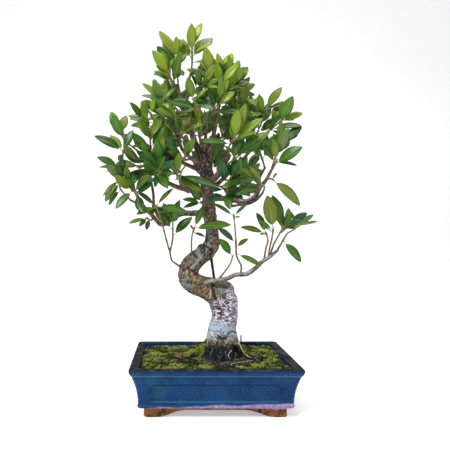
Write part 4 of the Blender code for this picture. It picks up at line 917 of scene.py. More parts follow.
# millimetres that a drawn leaf's tip is moved in depth until the leaf is clear
DEPTH_TRIES = (0, -6, 6, -12, 12, -18, 18, -26, 26, 34, -34)
# turns in degrees, shares of the length and more lean in degrees that a leaf tries until it is clear
LEAF_TRIES = [(0, 1, 0), (25, 1, 0), (-25, 1, 0), (50, .95, 8), (-50, .95, -8), (85, .9, 0), (-85, .9, 10),
              (125, .85, 0), (-125, .85, -10), (180, .8, 0), (20, .65, 20), (-60, .6, -15)]

# Shoots: name, route (u, v, depth), leaves shown (share of the route, tip u, v, depth, width share), and
# how many leaves the rule adds
SHOOTS = [
    ("apex", [(190.5, 74, 8), (192, 64, 7), (192, 55, 5), (191.8, 47, 4)], [(1, 201.7, 23, 0, .42),
     (.8, 180, 40.5, -6, .36), (.88, 205.5, 38.5, 8, .34), (.7, 213.5, 43.5, -12, .36),
     (.55, 212.5, 38, 28, .42), (.3, 203.5, 62.5, -16, .4)], 3),
    ("apex_left", [(178.3, 85, 10), (177.4, 75, 10), (176.6, 66, 8), (176.3, 58, 6)],
     [(1, 159.2, 31, 8, .4), (1, 176.3, 36.3, -8, .46), (.7, 188, 53, 2, .4),
     (.5, 183.5, 76, -18, .4)], 4),
    ("left_crest", [(181, 96, 9), (174.5, 87, 2), (171, 79, -4), (168.6, 71, -6)],
     [(1, 161.5, 51, -12, .44), (.7, 161.8, 70.3, 4, .4), (.45, 163, 79, -24, .4),
     (.6, 152.5, 74, -14, .3)], 4),
    ("leader_left_side", [(186.5, 112, 8), (180, 112, 24), (175, 107, 34), (172, 100, 40)], [], 6),
    ("leader_right_side", [(188, 97, 8), (194, 92, 2), (199, 88, -6), (203, 86, -12)],
     [(.9, 197.3, 71, -22, .45), (.5, 190.5, 73, -22, .4), (1, 213, 91, -30, .4)], 3),
    ("crest_middle", [(218.4, 111, 0), (216.8, 98, -5), (214.6, 86, -6), (212, 76, -6)],
     [(1, 210, 52, -10, .4), (.9, 218.5, 83, -18, .26), (.75, 204.5, 96, -20, .3)], 4),
    ("crest_right_in", [(218.6, 110, 0), (221.6, 99, 4), (223.2, 88, 5), (222.6, 77, 5)],
     [(1, 217, 53, 2, .36), (.9, 213.8, 66, 12, .4), (.85, 229, 65.5, 12, .4), (.2, 226.2, 87, -16, .4),
     (.1, 213, 97, 12, .4)], 4),
    ("crest_right", [(219, 112, 0), (226.5, 104, 8), (231.2, 94, 12), (232.8, 80, 12)],
     [(1, 233.7, 62.5, 10, .42), (.95, 249.5, 70, 6, .34), (.7, 244, 83, 0, .3),
     (.45, 238, 96, -10, .34)], 4),
    ("front_top", [(206.8, 125, -12), (204.5, 116.5, -28), (199.5, 109, -40), (193.5, 101, -46)],
     [(1, 208, 88.5, -52, .34), (.85, 213.5, 109.5, -64, .5), (.2, 204.5, 110, -30, .34),
     (.7, 186, 112, -52, .4)], 2),
    ("middle_top", [(206.8, 124, -12), (210, 117, -14), (213.2, 109, -18), (213.8, 103, -20)],
     [(1, 213.5, 83, -26, .36), (.8, 221.5, 92, -28, .4), (.5, 203, 103, -4, .4)], 1),
    ("head_back", [(201, 153, 14), (200, 142, 34), (198, 130, 50), (197, 120, 60)], [], 6),
    ("back_right", [(211, 148, 10), (219, 140, 34), (226, 131, 52), (231, 121, 62)], [], 6),
    ("back_left", [(197, 147, 12), (186, 141, 36), (177, 133, 52), (170, 125, 60)], [], 6),
    ("back_middle", [(208, 180, 16), (210, 171, 44), (212, 161, 66), (213, 150, 80)], [], 8),
    ("back_low_right", [(222, 179, 16), (233, 181, 42), (242, 178, 62), (250, 172, 74)], [], 6),
    ("back_low_left", [(186, 165, 26), (180, 172, 52), (172, 174, 70), (163, 170, 82)], [], 6),
    ("crest_far_right", [(250, 151.5, 13), (255, 138, 20), (262.2, 121, 10), (265.4, 109.5, -2)],
     [(1, 281.7, 87, -8, .4), (1, 290.3, 102.3, -14, .34), (.95, 245, 98, 6, .34), (.9, 252, 116, -24, .4),
     (.85, 272, 113, -22, .44)], 4),
    ("right_fan", [(249, 152, 14), (246, 138, 22), (243, 122, 22), (241, 108, 18)],
     [(1, 237, 94, 4, .4)], 6),
    ("right_crown_tip", [(256.5, 142, 6), (265, 134, 0), (273.5, 127, -6), (281.5, 120.5, -10)],
     [(1, 281.5, 100.5, -14, .44), (1, 294.7, 120, -8, .36), (.95, 289, 111.5, 8, .3),
     (.5, 284, 137, -16, .34)], 5),
    ("right_shoulder", [(270.8, 171, -28), (274.2, 161, -28), (277.5, 151.5, -26), (281.5, 144, -24)],
     [(1, 298.3, 135.2, -22, .3), (.9, 289, 144.5, -36, .36), (.85, 272.5, 133.5, -32, .46),
     (.6, 262.5, 139.5, -26, .4)], 4),
    ("right_arm", [(269.5, 174, -29), (273.5, 167.5, -35), (276.5, 161, -38)], [(1, 298, 150.7, -40, .42),
     (.9, 297, 165.5, -30, .3), (.8, 261, 145.5, -46, .5)], 2),
    ("right_inner", [(264.8, 168, -9), (262.5, 160, -4), (259.5, 152, 2)], [(1, 247.5, 141.5, 4, .42),
     (.8, 251, 166, -18, .4)], 5),
    ("right_hanging", [(266.5, 179.5, -29), (270, 178.6, -40), (273, 179.6, -46)],
     [(1, 299.8, 205.8, -52, .4), (.8, 277.2, 172.5, -44, .4)], 0),
    ("right_under_leaves", [(262.5, 193, -39), (264.6, 187.5, -45), (262.8, 185.5, -50)],
     [(1, 249.5, 166.5, -56, .38), (.9, 240.5, 168.5, -70, .5), (.6, 236, 195, -48, .4)], 1),
    ("right_front", [(227.8, 150.5, -19), (230.4, 144, -30), (234.5, 139.5, -40)],
     [(.75, 231.8, 122.8, -46, .5), (1, 246.2, 103.5, -52, .36), (1, 263, 118.5, -44, .38),
     (1, 257, 132.5, -66, .4), (.4, 201, 141.5, -48, .36)], 2),
    ("right_front_low", [(222.6, 166.5, -9), (229, 163, -24), (236, 158, -34), (242, 152, -38)],
     [(1, 270, 132, -54, .44), (.9, 241, 170, -44, .4), (.7, 224, 146, -44, .4)], 4),
    ("trunk_right", [(210, 182, 8), (222, 187.5, -4), (226.5, 191, -14)], [(1, 239.5, 181, -22, .4),
     (.9, 237.5, 186.5, -34, .3), (.7, 212.5, 192, -36, .3)], 4),
    ("trunk_front_left", [(184, 189.2, -9), (180, 182, -26), (177.5, 175.5, -38)],
     [(1, 201, 191.5, -56, .5), (1, 219, 188, -66, .24), (.8, 172, 164.5, -36, .44)], 2),
    ("left_arch", [(179.5, 143, -19), (180.6, 136.5, -30), (181.2, 133, -36)], [(1, 203, 124.3, -46, .36),
     (.9, 187.6, 132.8, -30, .5), (.8, 173, 135, -22, .4)], 2),
    ("left_bright", [(176.6, 126.5, -22), (176.8, 120.5, -34), (176.8, 118, -40)],
     [(1, 165.3, 124, -50, .34), (1, 187.2, 121, -50, .34), (.8, 170.5, 107.5, -36, .4)], 3),
    ("left_broad", [(192, 159, -9), (186, 160, -24), (183.4, 159.6, -32)], [(1, 194.8, 138.5, -48, .56),
     (1, 167, 151, -42, .38), (.8, 168, 142, -24, .2)], 3),
    ("left_high_tip", [(161, 134, 8), (162.6, 127, -4), (164, 119, -12), (163.6, 114, -18)],
     [(1, 152.8, 134.5, -34, .44), (1, 147.3, 120.5, -16, .44), (.95, 170.5, 112.5, -24, .4)], 3),
    ("upper_left_tip", [(170.8, 101, -25), (167, 97.5, -33), (162.6, 101.5, -40)],
     [(1, 142, 83.3, -48, .42), (.95, 141.3, 95.3, -30, .34), (.6, 156.5, 89, -22, .34),
     (.8, 175, 88, -36, .4)], 3),
    ("upper_left_low", [(161, 140, 13), (156.5, 127, -8), (152.5, 118.5, -28), (150.8, 114, -34)],
     [(1, 154.6, 98.3, -38, .44), (.95, 144.6, 108, -42, .5), (.5, 166, 104.5, -12, .4)], 2),
    ("left_upright", [(150.4, 175, -12), (150.7, 163, -8), (150.8, 150, -20), (150.2, 140, -32)],
     [(1, 137, 119.2, -44, .5), (.75, 131.3, 146.8, -48, .36), (.55, 160.5, 137.5, -46, .4),
     (.9, 153, 124, -26, .44), (.3, 133, 163, -44, .36)], 3),
    ("left_end", [(137.5, 150.8, -27), (130, 145, -30), (124.4, 140, -32), (120.5, 133.5, -32)],
     [(1, 126.5, 115.4, -34, .66), (.5, 124.5, 133.4, -12, .34)], 2),
    ("left_tip", [(123, 170.7, -34), (122.6, 160, -37), (123.4, 151, -40)], [(1, 94.5, 136, -44, .44),
     (1, 110.3, 135.2, -26, .4), (.85, 118.7, 160.8, -54, .5)], 1),
    ("left_arched", [(124, 172.3, -33.5), (121.5, 168, -41), (119.5, 167.3, -43)], [(1, 99, 167.3, -50, .3),
     (.9, 105.3, 171.7, -30, .24)], 1),
    ("left_hanging", [(131, 200.5, -32), (124.5, 194, -36), (119.8, 187.5, -40), (120.3, 179, -42)],
     [(1, 103, 196, -54, .24), (.85, 105, 201.5, -40, .5), (.5, 108.5, 205.5, -26, .36),
     (.7, 128, 177, -46, .3)], 1),
    ("left_drooping", [(136, 193, -28), (134, 191.3, -40), (132.2, 190.4, -46)],
     [(1, 115.8, 208.8, -58, .42)], 2),
    ("left_under", [(148.2, 164.6, -24), (143, 166, -34), (139, 167, -38)], [(1, 126, 163, -50, .4),
     (1, 133, 184.5, -48, .5), (.7, 142, 186, -30, .4)], 4),
    ("left_middle", [(161, 178.4, -20), (158.6, 174.5, -32), (157.8, 171.5, -38)],
     [(1, 165, 156.3, -46, .56), (1, 169.5, 180.5, -52, .36), (.8, 155, 187.5, -40, .4)], 4),
    ("limb_shoot", [(164.4, 232, -38), (160.8, 219, -43), (157.8, 210.5, -46), (155.8, 206, -48)],
     [(1, 136.7, 191.3, -54, .3), (1, 173.6, 188, -54, .26), (1, 188, 213, -62, .36),
     (.95, 136.3, 214.7, -66, .42), (.7, 172, 211.5, -34, .44)], 0),
    ("limb_side_shoot", [(169.8, 252, -26), (172.4, 241, -26), (172.8, 228, -30), (172.5, 219, -36)],
     [(1, 180, 199.8, -40, .4), (.95, 163, 203, -46, .4)], 4),
    ("left_low_shoot", [(153, 216.5, -28), (151.2, 220.5, -40), (147, 218.2, -48)],
     [(1, 128.6, 223.5, -54, .34), (1, 139, 226.5, -60, .4), (.6, 146.6, 230, -48, .5)], 0),
    ("limb_riser", [(192, 258, 4), (191.5, 247, -10), (192, 236, -18), (194.4, 228, -24)],
     [(1, 204, 205.3, -30, .34), (1, 231.2, 225.2, -58, .34), (.9, 190.3, 224.6, -14, .3),
     (.85, 205, 237, -36, .3)], 0),
    ("trunk_left", [(206, 205, 2), (203.4, 203.6, -16), (201.6, 202.6, -24)], [(1, 182.6, 199.6, -38, .42),
     (1, 183.2, 207.6, -26, .36)], 2),
    ("right_low_riser", [(240.5, 273.6, -26), (241.2, 266, -27), (236.6, 256, -27), (236, 244, -27),
     (235.2, 230, -27), (233.9, 216, -27)], [(1, 212.8, 203.3, -34, .26), (1, 247.5, 203.6, -36, .28),
     (.97, 240.3, 216.8, -24, .4), (.42, 248.6, 238.6, -36, .42), (.3, 261.5, 266.2, -50, .28),
     (.5, 217.6, 228, -40, .38)], 0),
    ("right_low_front", [(217.5, 280.4, -25), (224, 272.6, -32), (229.8, 264.5, -36), (232.8, 256.5, -40)],
     [(1, 218.3, 238.8, -50, .5)], 0),
    ("right_low_twig", [(264, 259.8, -28), (266, 248, -32), (268, 240.5, -34), (266, 233, -34)],
     [(1, 240.3, 227.2, -40, .34), (.95, 259.6, 234.6, -50, .3)], 1),
    ("right_low_cross", [(268.5, 257, -28), (269.6, 248.5, -38), (272, 238, -44), (273.2, 229.5, -48)],
     [(1, 267, 195.4, -58, .56), (.98, 257.6, 220.6, -58, .34), (.9, 260.3, 226.8, -66, .42)], 0),
    ("right_low_fork", [(270, 256.4, -28), (273.4, 245.2, -29), (278.6, 235.5, -32), (283, 227.5, -34)],
     [(1, 272, 195, -40, .4), (1, 273.6, 213.6, -60, .5), (1, 291.6, 214.2, -48, .5),
     (.8, 291, 220, -20, .4)], 0),
    ("right_low_end", [(277.2, 250.5, -30), (282.4, 241.5, -31), (287.4, 233.4, -33), (293, 230.4, -36),
     (297, 226, -38)], [(1, 318, 221.3, -44, .24), (1, 313.5, 214.5, -34, .3), (.93, 291.6, 212, -30, .24),
     (.25, 301, 262.3, -44, .42), (.9, 289, 224.6, -50, .2)], 0),
]


# %% The growth of the leaves
class Space:
    """What has been placed so far, to keep new leaves clear of it."""

    def __init__(self):
        self.rows = []

    def add(self, owner, points, faces):
        """Keeps a skin under its owner's name, with its box."""
        points = np.asarray(points)
        tree = BVHTree.FromPolygons([tuple(p) for p in points], faces)
        self.rows.append((owner, points.min(axis=0), points.max(axis=0), tree))

    def clear(self, owner, whole, blade):
        """True where the whole leaf is clear of what others own, and its blade of its own shoot."""
        points = np.asarray(whole[0])
        low, high = points.min(axis=0), points.max(axis=0)
        whole_tree = BVHTree.FromPolygons([tuple(p) for p in whole[0]], whole[1])
        blade_tree = BVHTree.FromPolygons([tuple(p) for p in blade[0]], blade[1])
        for other_owner, other_low, other_high, other in self.rows:
            if (low > other_high).any() or (high < other_low).any():
                continue
            tree = blade_tree if other_owner == owner else whole_tree
            if tree.overlap(other):
                return False
        return True


def leaf_mesh(stem, tip, upward, width_share, grow=0.0):
    """An elliptic blade with a keel below, tapering into its stalk, as one closed skin of triangles."""
    along = tip - stem
    reach = along.length
    along = along / reach
    side = along.cross(upward).normalized()
    normal = side.cross(along).normalized()
    stalk = min(STALK_MOST, STALK_SHARE * reach)
    length = reach - stalk
    half = length * width_share / 2
    sections = [(0.0, STALK_RADIUS, STALK_RADIUS, 0.0)]
    for share, wide in BLADE:
        bow = BLADE_BOW * length * 4 * share * (1 - share)
        sections.append((stalk + share * length, wide * half, LEAF_THICK, bow))
    points = []
    for distance, wide, deep, bow in sections:
        centre = stem + along * distance + normal * (bow + grow)
        aside = side * (wide + grow)
        points += [centre - aside, centre + aside, centre - normal * (deep + 2 * grow)]
    points.append(tip + along * grow)
    last = len(points) - 1
    faces = [(0, 1, 2)]
    for a in range(0, last - 3, 3):
        for i, j in ((0, 1), (1, 2), (2, 0)):
            faces += [(a + i, a + 3 + i, a + 3 + j), (a + i, a + 3 + j, a + j)]
    top = last - 3
    faces += [(top, last, top + 1), (top + 1, last, top + 2), (top + 2, last, top)]
    return points, faces


def test_skins(stem, tip, upward, width_share):
    """A slightly larger leaf that starts just outside its twig, and that leaf's blade alone."""
    points, faces = leaf_mesh(stem, tip, upward, width_share, LEAF_ROOM)
    share = STALK_TESTED_FROM / (points[3] - points[0]).length
    points[:3] = [near.lerp(far, share) for near, far in zip(points[:3], points[3:6])]
    blade = [tuple(i - 3 for i in f) for f in faces if min(f) >= 3]
    return (points, faces), (points[3:], blade)


def facing(point, tip_share):
    """Leaves face the front or the back, whichever side they grow on, and somewhat up, out and aside."""
    outward = Vector((point.x, point.y - CROWN_DEPTH, 0)).normalized()
    front = -FACING_FRONT if point.y < CROWN_DEPTH else FACING_FRONT
    onward = Vector((FACING_SWAY * math.sin(SWAY_TURN * tip_share), front, FACING_UP))
    return (onward + outward * FACING_OUT).normalized()


def grow_shown(space, name, stem, row):
    """A leaf whose tip is drawn on the front view, in a list. It tries nearby depths until it is clear."""
    _, u, v, depth, width = row
    for shift in DEPTH_TRIES:
        tip = seen(u, v, depth + shift)
        for roll in SHOWN_ROLLS:
            upward = Vector((roll, -1, SHOWN_UP + ROLLED_UP * abs(roll))).normalized()
            whole, blade = test_skins(stem, tip, upward, width)
            if space.clear(name, whole, blade):
                space.add(name, *whole)
                return [(stem, tip, upward, width, row[0])]
    return []


def grow_more(space, name, twig, count, index, scale=1.0):
    """Leaves by the rule of the shoot: each turns by the golden angle and leans out less near the tip."""
    grown = []
    for k in range(count):
        share = FIRST_LEAF + (1 - FIRST_LEAF) * (k + 1) / count
        place = route_point(twig, share)
        ahead = route_point(twig, share + SHARE_AROUND) - route_point(twig, share - SHARE_AROUND)
        ahead = ahead.normalized()
        across = ahead.cross(ASLANT).normalized()
        beside = ahead.cross(across)
        for turn, shrink, lean_more in LEAF_TRIES:
            angle = index * SHOOT_TURN + k * GOLDEN_TURN + math.radians(turn)
            lean = math.radians(LEAN_LOW + (LEAN_TIP - LEAN_LOW) * share + lean_more)
            out = math.cos(angle) * across + math.sin(angle) * beside
            toward = math.cos(lean) * ahead + math.sin(lean) * out + Vector((0, 0, LEAF_LIFT))
            toward = Vector((toward.x, toward.y * FANNED, toward.z)).normalized()
            length = scale * GROWN_LEAF * shrink
            length *= LOWEST_LENGTH - LENGTH_FALL * share + LENGTH_SWAY * math.sin(3 * k + index)
            tip = place + toward * length
            upward = facing(tip, share + k)
            if abs(toward.dot(upward)) > EDGE_ON:
                upward = across
            width = LEAF_WIDTH * (1 + WIDTH_SWAY * math.sin(5 * k + 2 * index))
            whole, blade = test_skins(place, tip, upward, width)
            if space.clear(name, whole, blade):
                space.add(name, *whole)
                grown.append((place, tip, upward, width, share))
                break
    return grown


# %% Place every leaf
# how far along a shoot its side twigs leave it, and their sizes
SPUR_SHARES = (0.25, 0.5, 0.75)
SPUR_LENGTH = 0.024
SPUR_RADII = (0.0010, 0.0007)
SPUR_LEAN = math.radians(52)
SPUR_LEAVES = 5
SPUR_TURNS = (0, 40, -40, 80, -80, 130, -130, 180)
SPUR_LEAF_SCALE = 0.80
SPUR_POINTS = 7
SPUR_RISE = 0.35
# the lowest is this much longer than SPUR_LENGTH, and the length falls by this much along the shoot
SPUR_LOWEST = 1.2
SPUR_FALL = 0.5
SPUR_TURN = 2.3
# the parts of the crown that they fill: middle and half size on the front view, in px, then in depth, in mm
CROWN_PARTS = ((205, 142, 60, 78, 0, 46), (150, 192, 34, 34, -20, 50), (277, 226, 18, 14, -25, 40))


def spur_route(twig, share, angle):
    """A short side twig: it leaves the shoot at a lean and bends upwards as a parabola."""
    place = route_point(twig, share)
    ahead = route_point(twig, share + SHARE_AROUND) - route_point(twig, share - SHARE_AROUND)
    ahead = ahead.normalized()
    across = ahead.cross(ASLANT).normalized()
    out = math.cos(angle) * across + math.sin(angle) * ahead.cross(across)
    toward = np.array((math.cos(SPUR_LEAN) * ahead + math.sin(SPUR_LEAN) * out).normalized())
    length = SPUR_LENGTH * (SPUR_LOWEST - SPUR_FALL * share)
    t = np.linspace(0, 1, SPUR_POINTS)[:, None]
    rise = np.array([0, 0, SPUR_RISE]) * length * t ** 2
    radius = SPUR_RADII[0] - t * np.ptp(SPUR_RADII)
    return np.hstack([np.array(place) + toward * length * t + rise, radius])


def inside_crown(place):
    """Inside one of the ellipses that the side twigs fill, as the eye sees them."""
    scale = VIEW_FOCUS / (place.y - EYE.y)
    across = VIEW_AXIS[0] + (place.x - EYE.x) * scale
    down = VIEW_AXIS[1] - (place.z - EYE.z) * scale
    depth = (place.y - CROWN_DEPTH) / MM
    return any(((across - u) / wide) ** 2 + ((down - v) / high) ** 2 + ((depth - middle) / deep) ** 2 < 1
               for u, v, wide, high, middle, deep in CROWN_PARTS)


def grow_spurs(space, name, twig, index):
    """Side twigs at set shares of the shoot, each turned until it is clear, with a few leaves on each."""
    spurs, leaves = [], []
    for k, share in enumerate(SPUR_SHARES):
        if not inside_crown(route_point(twig, share)):
            continue
        for turn in SPUR_TURNS:
            route = spur_route(twig, share, index * SPUR_TURN + k * GOLDEN_TURN + math.radians(turn))
            whole, free = skin(route, 4), skin(route[1:], 4)
            if space.clear(name, whole, free):
                space.add(name, *whole)
                spurs.append(route)
                leaves += grow_more(space, name, route, SPUR_LEAVES, index + 7 * k, SPUR_LEAF_SCALE)
                break
    return spurs, leaves


def place_leaves():
    """Each shoot's route, leaves and side twigs, in the order in which they keep clear of each other."""
    space = Space()
    space.add("trunk", *skin(drawn_route(TRUNK, TRUNK_STEP), TRUNK_SIDES))
    for name, rows in BRANCHES:
        space.add(name, *skin(branch_route(rows)))
    routes = [shoot_route(rows) for _, rows, _, _ in SHOOTS]
    bases, twigs = zip(*[shoot_parts(route) for route in routes])
    for (name, _, _, _), base, twig in zip(SHOOTS, bases, twigs):
        space.add("base", *skin(base, 4))
        space.add(name, *skin(twig, 4))
    grown = {name: [] for name, _, _, _ in SHOOTS}
    spurs = {}
    for (name, _, shown, _), twig in zip(SHOOTS, twigs):
        for row in shown:
            grown[name] += grow_shown(space, name, route_point(twig, row[0]), row)
    for index, ((name, _, _, more), twig) in enumerate(zip(SHOOTS, twigs)):
        grown[name] += grow_more(space, name, twig, more, index)
    first = sum(len(leaves) for leaves in grown.values())
    for index, ((name, _, _, _), twig) in enumerate(zip(SHOOTS, twigs)):
        spurs[name], leaves = grow_spurs(space, name, twig, index)
        grown[name] += leaves
    print(first, "leaves as in the solids,", sum(len(leaves) for leaves in grown.values()) - first, "more")
    return {name: (route, grown[name], spurs[name]) for (name, _, _, _), route in zip(SHOOTS, routes)}


placed = place_leaves()
print("side twigs:", sum(len(spurs) for _, _, spurs in placed.values()), "on", len(placed), "shoots")

# %% [markdown]
# ## The wood
# Old ficus wood is one skin that flows from the roots into the trunk and every branch. Tubes along the
# routes are laid into each other, and a voxel remesh melts them into one skin with soft joints. Bark
# relief is then a height added along each point's normal: rings of crevices low down, fibres on the root
# flare and knobs higher up.

# %% Tubes along routes
WOOD_VOXEL = 0.0009
WOOD_TRIANGLES = 190000
FLARE_SIDES = 96
FLARE_STEP = 1.5
TRUNK_ROUND = 40
BRANCH_ROUND = 16
# steps along the routes for the tubes, and for telling which wood a point belongs to
TUBE_STEP = 0.003
LINE_STEP = 0.002
# a way that no route starts along
FIRST_ASIDE = (0.3, 0.9, 0.2)


def closed_tube(route, sides):
    """Rings square to the route: centre + radius (cos side + sin up), with a flat cap at each end."""
    places, radii = route[:, :3], route[:, 3]
    ahead = np.gradient(places, axis=0)
    ahead /= np.linalg.norm(ahead, axis=1)[:, None]
    side = np.empty_like(ahead)
    side[0] = np.cross(ahead[0], FIRST_ASIDE)
    for k in range(1, len(ahead)):
        side[k] = side[k - 1] - ahead[k] * np.dot(side[k - 1], ahead[k])
        side[k] /= np.linalg.norm(side[k])
    side[0] /= np.linalg.norm(side[0])
    up = np.cross(ahead, side)
    angle = np.linspace(0, 2 * math.pi, sides, endpoint=False)
    round_way = np.cos(angle)[None, :, None] * side[:, None] + np.sin(angle)[None, :, None] * up[:, None]
    grid = places[:, None] + radii[:, None, None] * round_way
    return grid.reshape(-1, 3), closed_faces(len(grid), sides)


def joined(parts):
    """Several sets of points and faces as one set."""
    points, faces, start = [], [], 0
    for part_points, part_faces in parts:
        points.append(part_points)
        faces += [f + start for f in part_faces]
        start += len(part_points)
    return np.concatenate(points), faces


def ellipsoid(middle, half, rows=20, sides=32):
    """A ball squashed along the axes: middle + half (cos up cos round, cos up sin round, sin up)."""
    up = np.linspace(-math.pi / 2 + 0.05, math.pi / 2 - 0.05, rows)[:, None]
    turn = np.linspace(0, 2 * math.pi, sides, endpoint=False)[None]
    grid = np.stack([np.cos(up) * np.cos(turn), np.cos(up) * np.sin(turn), np.sin(up) + 0 * turn], axis=-1)
    points = np.array(middle) + grid.reshape(-1, 3) * half
    return points, closed_faces(rows, sides)


def root_flare():
    """The flare: a smooth profile, whose radius swells and dips with two waves as it goes round."""
    rows = smooth_route(FLARE, FLARE_STEP)
    height, middle, radius, ribs = rows.T
    turn = np.linspace(0, 2 * math.pi, FLARE_SIDES, endpoint=False)[None]
    wave = sum(weight * np.cos(times * turn + start) for times, start, weight in FLARE_WAVES)
    reach = radius[:, None] * MM * (1 + ribs[:, None] * wave / sum(row[2] for row in FLARE_WAVES))
    grid = np.stack([middle[:, None] * MM + reach * np.cos(turn), reach * np.sin(turn) * FLARE_DEPTH,
                     height[:, None] * MM + 0 * turn], axis=-1)
    return grid.reshape(-1, 3), closed_faces(len(rows), FLARE_SIDES)


def wood_routes(step):
    """The routes of the trunk, the branches and the roots, read again at this closer step."""
    coarse = [drawn_route(TRUNK, TRUNK_STEP)] + [branch_route(rows) for _, rows in BRANCHES]
    coarse += [drawn_route(rows, ROOT_STEP) for rows in ROOTS]
    return [smooth_route(route, step) for route in coarse]


def rough_wood():
    """All the wood's tubes and lumps, laid into each other and melted into one skin."""
    trunk, *others = wood_routes(TUBE_STEP)
    parts = [closed_tube(trunk, TRUNK_ROUND), root_flare()]
    parts += [ellipsoid(seen(u, v, d), np.array([rx, ry, rz]) * MM) for u, v, d, rx, ry, rz in SWELLINGS]
    parts += [closed_tube(route, BRANCH_ROUND) for route in others]
    wood = in_scene("rough_wood", mesh_of("rough_wood", *joined(parts)))
    melt = wood.modifiers.new("melt", "REMESH")
    melt.mode = "VOXEL"
    melt.voxel_size = WOOD_VOXEL
    smooth = wood.modifiers.new("smooth", "SMOOTH")
    smooth.factor = 0.5
    smooth.iterations = 3
    return applied(wood)


# %% Which wood each point belongs to
def wood_lines():
    """The places and radii along every wooden route, and the number of the route each belongs to."""
    routes = wood_routes(LINE_STEP)
    owner = np.concatenate([np.full(len(route), k) for k, route in enumerate(routes)])
    return np.concatenate(routes), owner


def nearest_line(points, lines, chunk=4000):
    """For each point, the row of the lines whose surface is nearest."""
    found = np.empty(len(points), np.int64)
    for start in range(0, len(points), chunk):
        part = points[start:start + chunk]
        away = np.linalg.norm(part[:, None] - lines[None, :, :3], axis=2) - lines[None, :, 3]
        found[start:start + chunk] = away.argmin(axis=1)
    return found


# %% [markdown]
# ## Marks on the bark
# The lower trunk is an old graft: pale bark with short dark crevices, under an olive-brown limb with
# golden patches, a pale scar along it and creases where the two grew together. Each mark is drawn on
# the front view as a line or a spot. Its value falls off as a bell with the distance, and both the relief
# and the colour follow it, so a crease is sunk and its groove is painted dark as shade.

# %% Drawn marks
# each mark: its places on the front view, and how far it reaches, in px
# the creases are sunk into the bark and painted dark as shade
CREASES = [
    ([(213, 282.5), (212.5, 287), (213.5, 293), (216, 300)], 1.6),
    ([(187, 268), (192, 270.5), (198, 274)], 1.2), ([(203, 243), (205, 250), (204, 256)], 0.9),
    ([(211, 249), (213, 252), (210, 255)], 1.4), ([(199, 285), (206, 282.5), (212, 280)], 1.0),
    ([(186, 290), (194, 296), (203, 299)], 1.2), ([(196, 335), (200, 340), (201, 348)], 1.3),
    ([(228, 334), (233, 331), (236, 333)], 0.8), ([(205, 228), (207, 236), (206, 243)], 0.9),
    ([(212, 220), (213, 229), (215, 236)], 0.8), ([(218, 336), (222, 339), (226, 338)], 1.6)]
SCARS = [
    ([(191, 269), (197, 262), (203, 255), (207, 249)], 1.5), ([(206, 243), (209, 245)], 2.6),
    ([(197, 249), (199, 256)], 2.4), ([(206, 338), (204, 344)], 1.6), ([(211, 290), (210, 298)], 1.1),
    ([(234, 337), (239, 343)], 1.1), ([(226, 343), (230, 338), (235, 343)], 1.4),
    ([(212, 338), (215, 342)], 1.2)]
GOLDS = [
    ([(204, 288), (211, 294)], 5.0), ([(192, 262), (194, 268)], 3.6), ([(213, 253), (214, 262)], 3.6),
    ([(190, 275), (197, 281)], 3.6), ([(215, 243), (214, 232)], 2.6), ([(202, 292), (208, 298)], 4.0)]
LILACS = [([(222, 300), (226, 330)], 9.0)]
BLUES = [([(213, 326), (232, 330)], 5.5)]
GREYS = [
    ([(187, 283), (184, 290), (192, 297)], 6.0), ([(197, 250), (195, 258)], 4.0),
    ([(218, 285), (228, 292)], 5.0), ([(206, 226), (211, 238)], 4.5)]
SILVERS = [([(222, 198.5), (250, 200)], 6.0), ([(172, 216), (196, 213)], 6.0)]
KNOTS = [([(203, 136), (202, 174)], 11.0)]
MOSSES = [([(202.5, 341), (199, 352)], 4.6), ([(242, 350), (246, 354)], 3.0)]
# the graft: a place on its upper edge, how steeply that edge rises to the right, how far it frays, and the
# rows over which it fades in below the edge and out above the flare
GRAFT_CORNER = (213, 300)
GRAFT_SLOPE = 0.75
GRAFT_FRAY = 3
GRAFT_START = (-2, 3)
GRAFT_END = (335, 343)
# the rows over which the flare's fibres and its earthy colour start
FIBRE_START = (336, 348)
EARTH_START = (340, 349)
# wood lower than this counts as trunk, roots too
ROOTS_BELOW = 0.10
# heights of the bark's relief, in metres
CREVICE_DEPTH = 0.0012
FIBRE_HEIGHT = 0.0016
STUB_HEIGHT = 0.0030
SCAR_HEIGHT = 0.0006
CREASE_DEPTH = 0.0017
FLARE_MIDDLE = 0.0155


def drawn_at(points):
    """Where the front view shows each point: the inverse of the eye's view."""
    scale = VIEW_FOCUS / (points[:, 1] - EYE.y)
    across = VIEW_AXIS[0] + (points[:, 0] - EYE.x) * scale
    return np.stack([across, VIEW_AXIS[1] - (points[:, 2] - EYE.z) * scale], 1)


def from_line(uv, places):
    """The distance of each place to the nearest stretch of a drawn line."""
    best = np.full(len(uv), 1e9)
    for start, end in zip(np.array(places[:-1], float), np.array(places[1:], float)):
        way = end - start
        share = np.clip((uv - start) @ way / (way @ way), 0, 1)
        best = np.minimum(best, np.linalg.norm(uv - start - share[:, None] * way, axis=1))
    return best


def marked(uv, marks):
    """The strongest of several marks: a bell of the distance over each mark's reach."""
    total = np.zeros(len(uv))
    for places, reach in marks:
        total = np.maximum(total, np.exp(-(from_line(uv, places) / reach) ** 2))
    return total


def scarred_bark(uv, points, is_trunk):
    """Where the pale graft shows: below a slanting line from the crease to the trunk's right shoulder."""
    corner_u, corner_v = GRAFT_CORNER
    edge = corner_v - GRAFT_SLOPE * (uv[:, 0] - corner_u) + GRAFT_FRAY * noise(points, 0.008, 85)
    started = smooth_step(uv[:, 1] - edge, *GRAFT_START)
    return started * (1 - smooth_step(uv[:, 1], *GRAFT_END)) * is_trunk


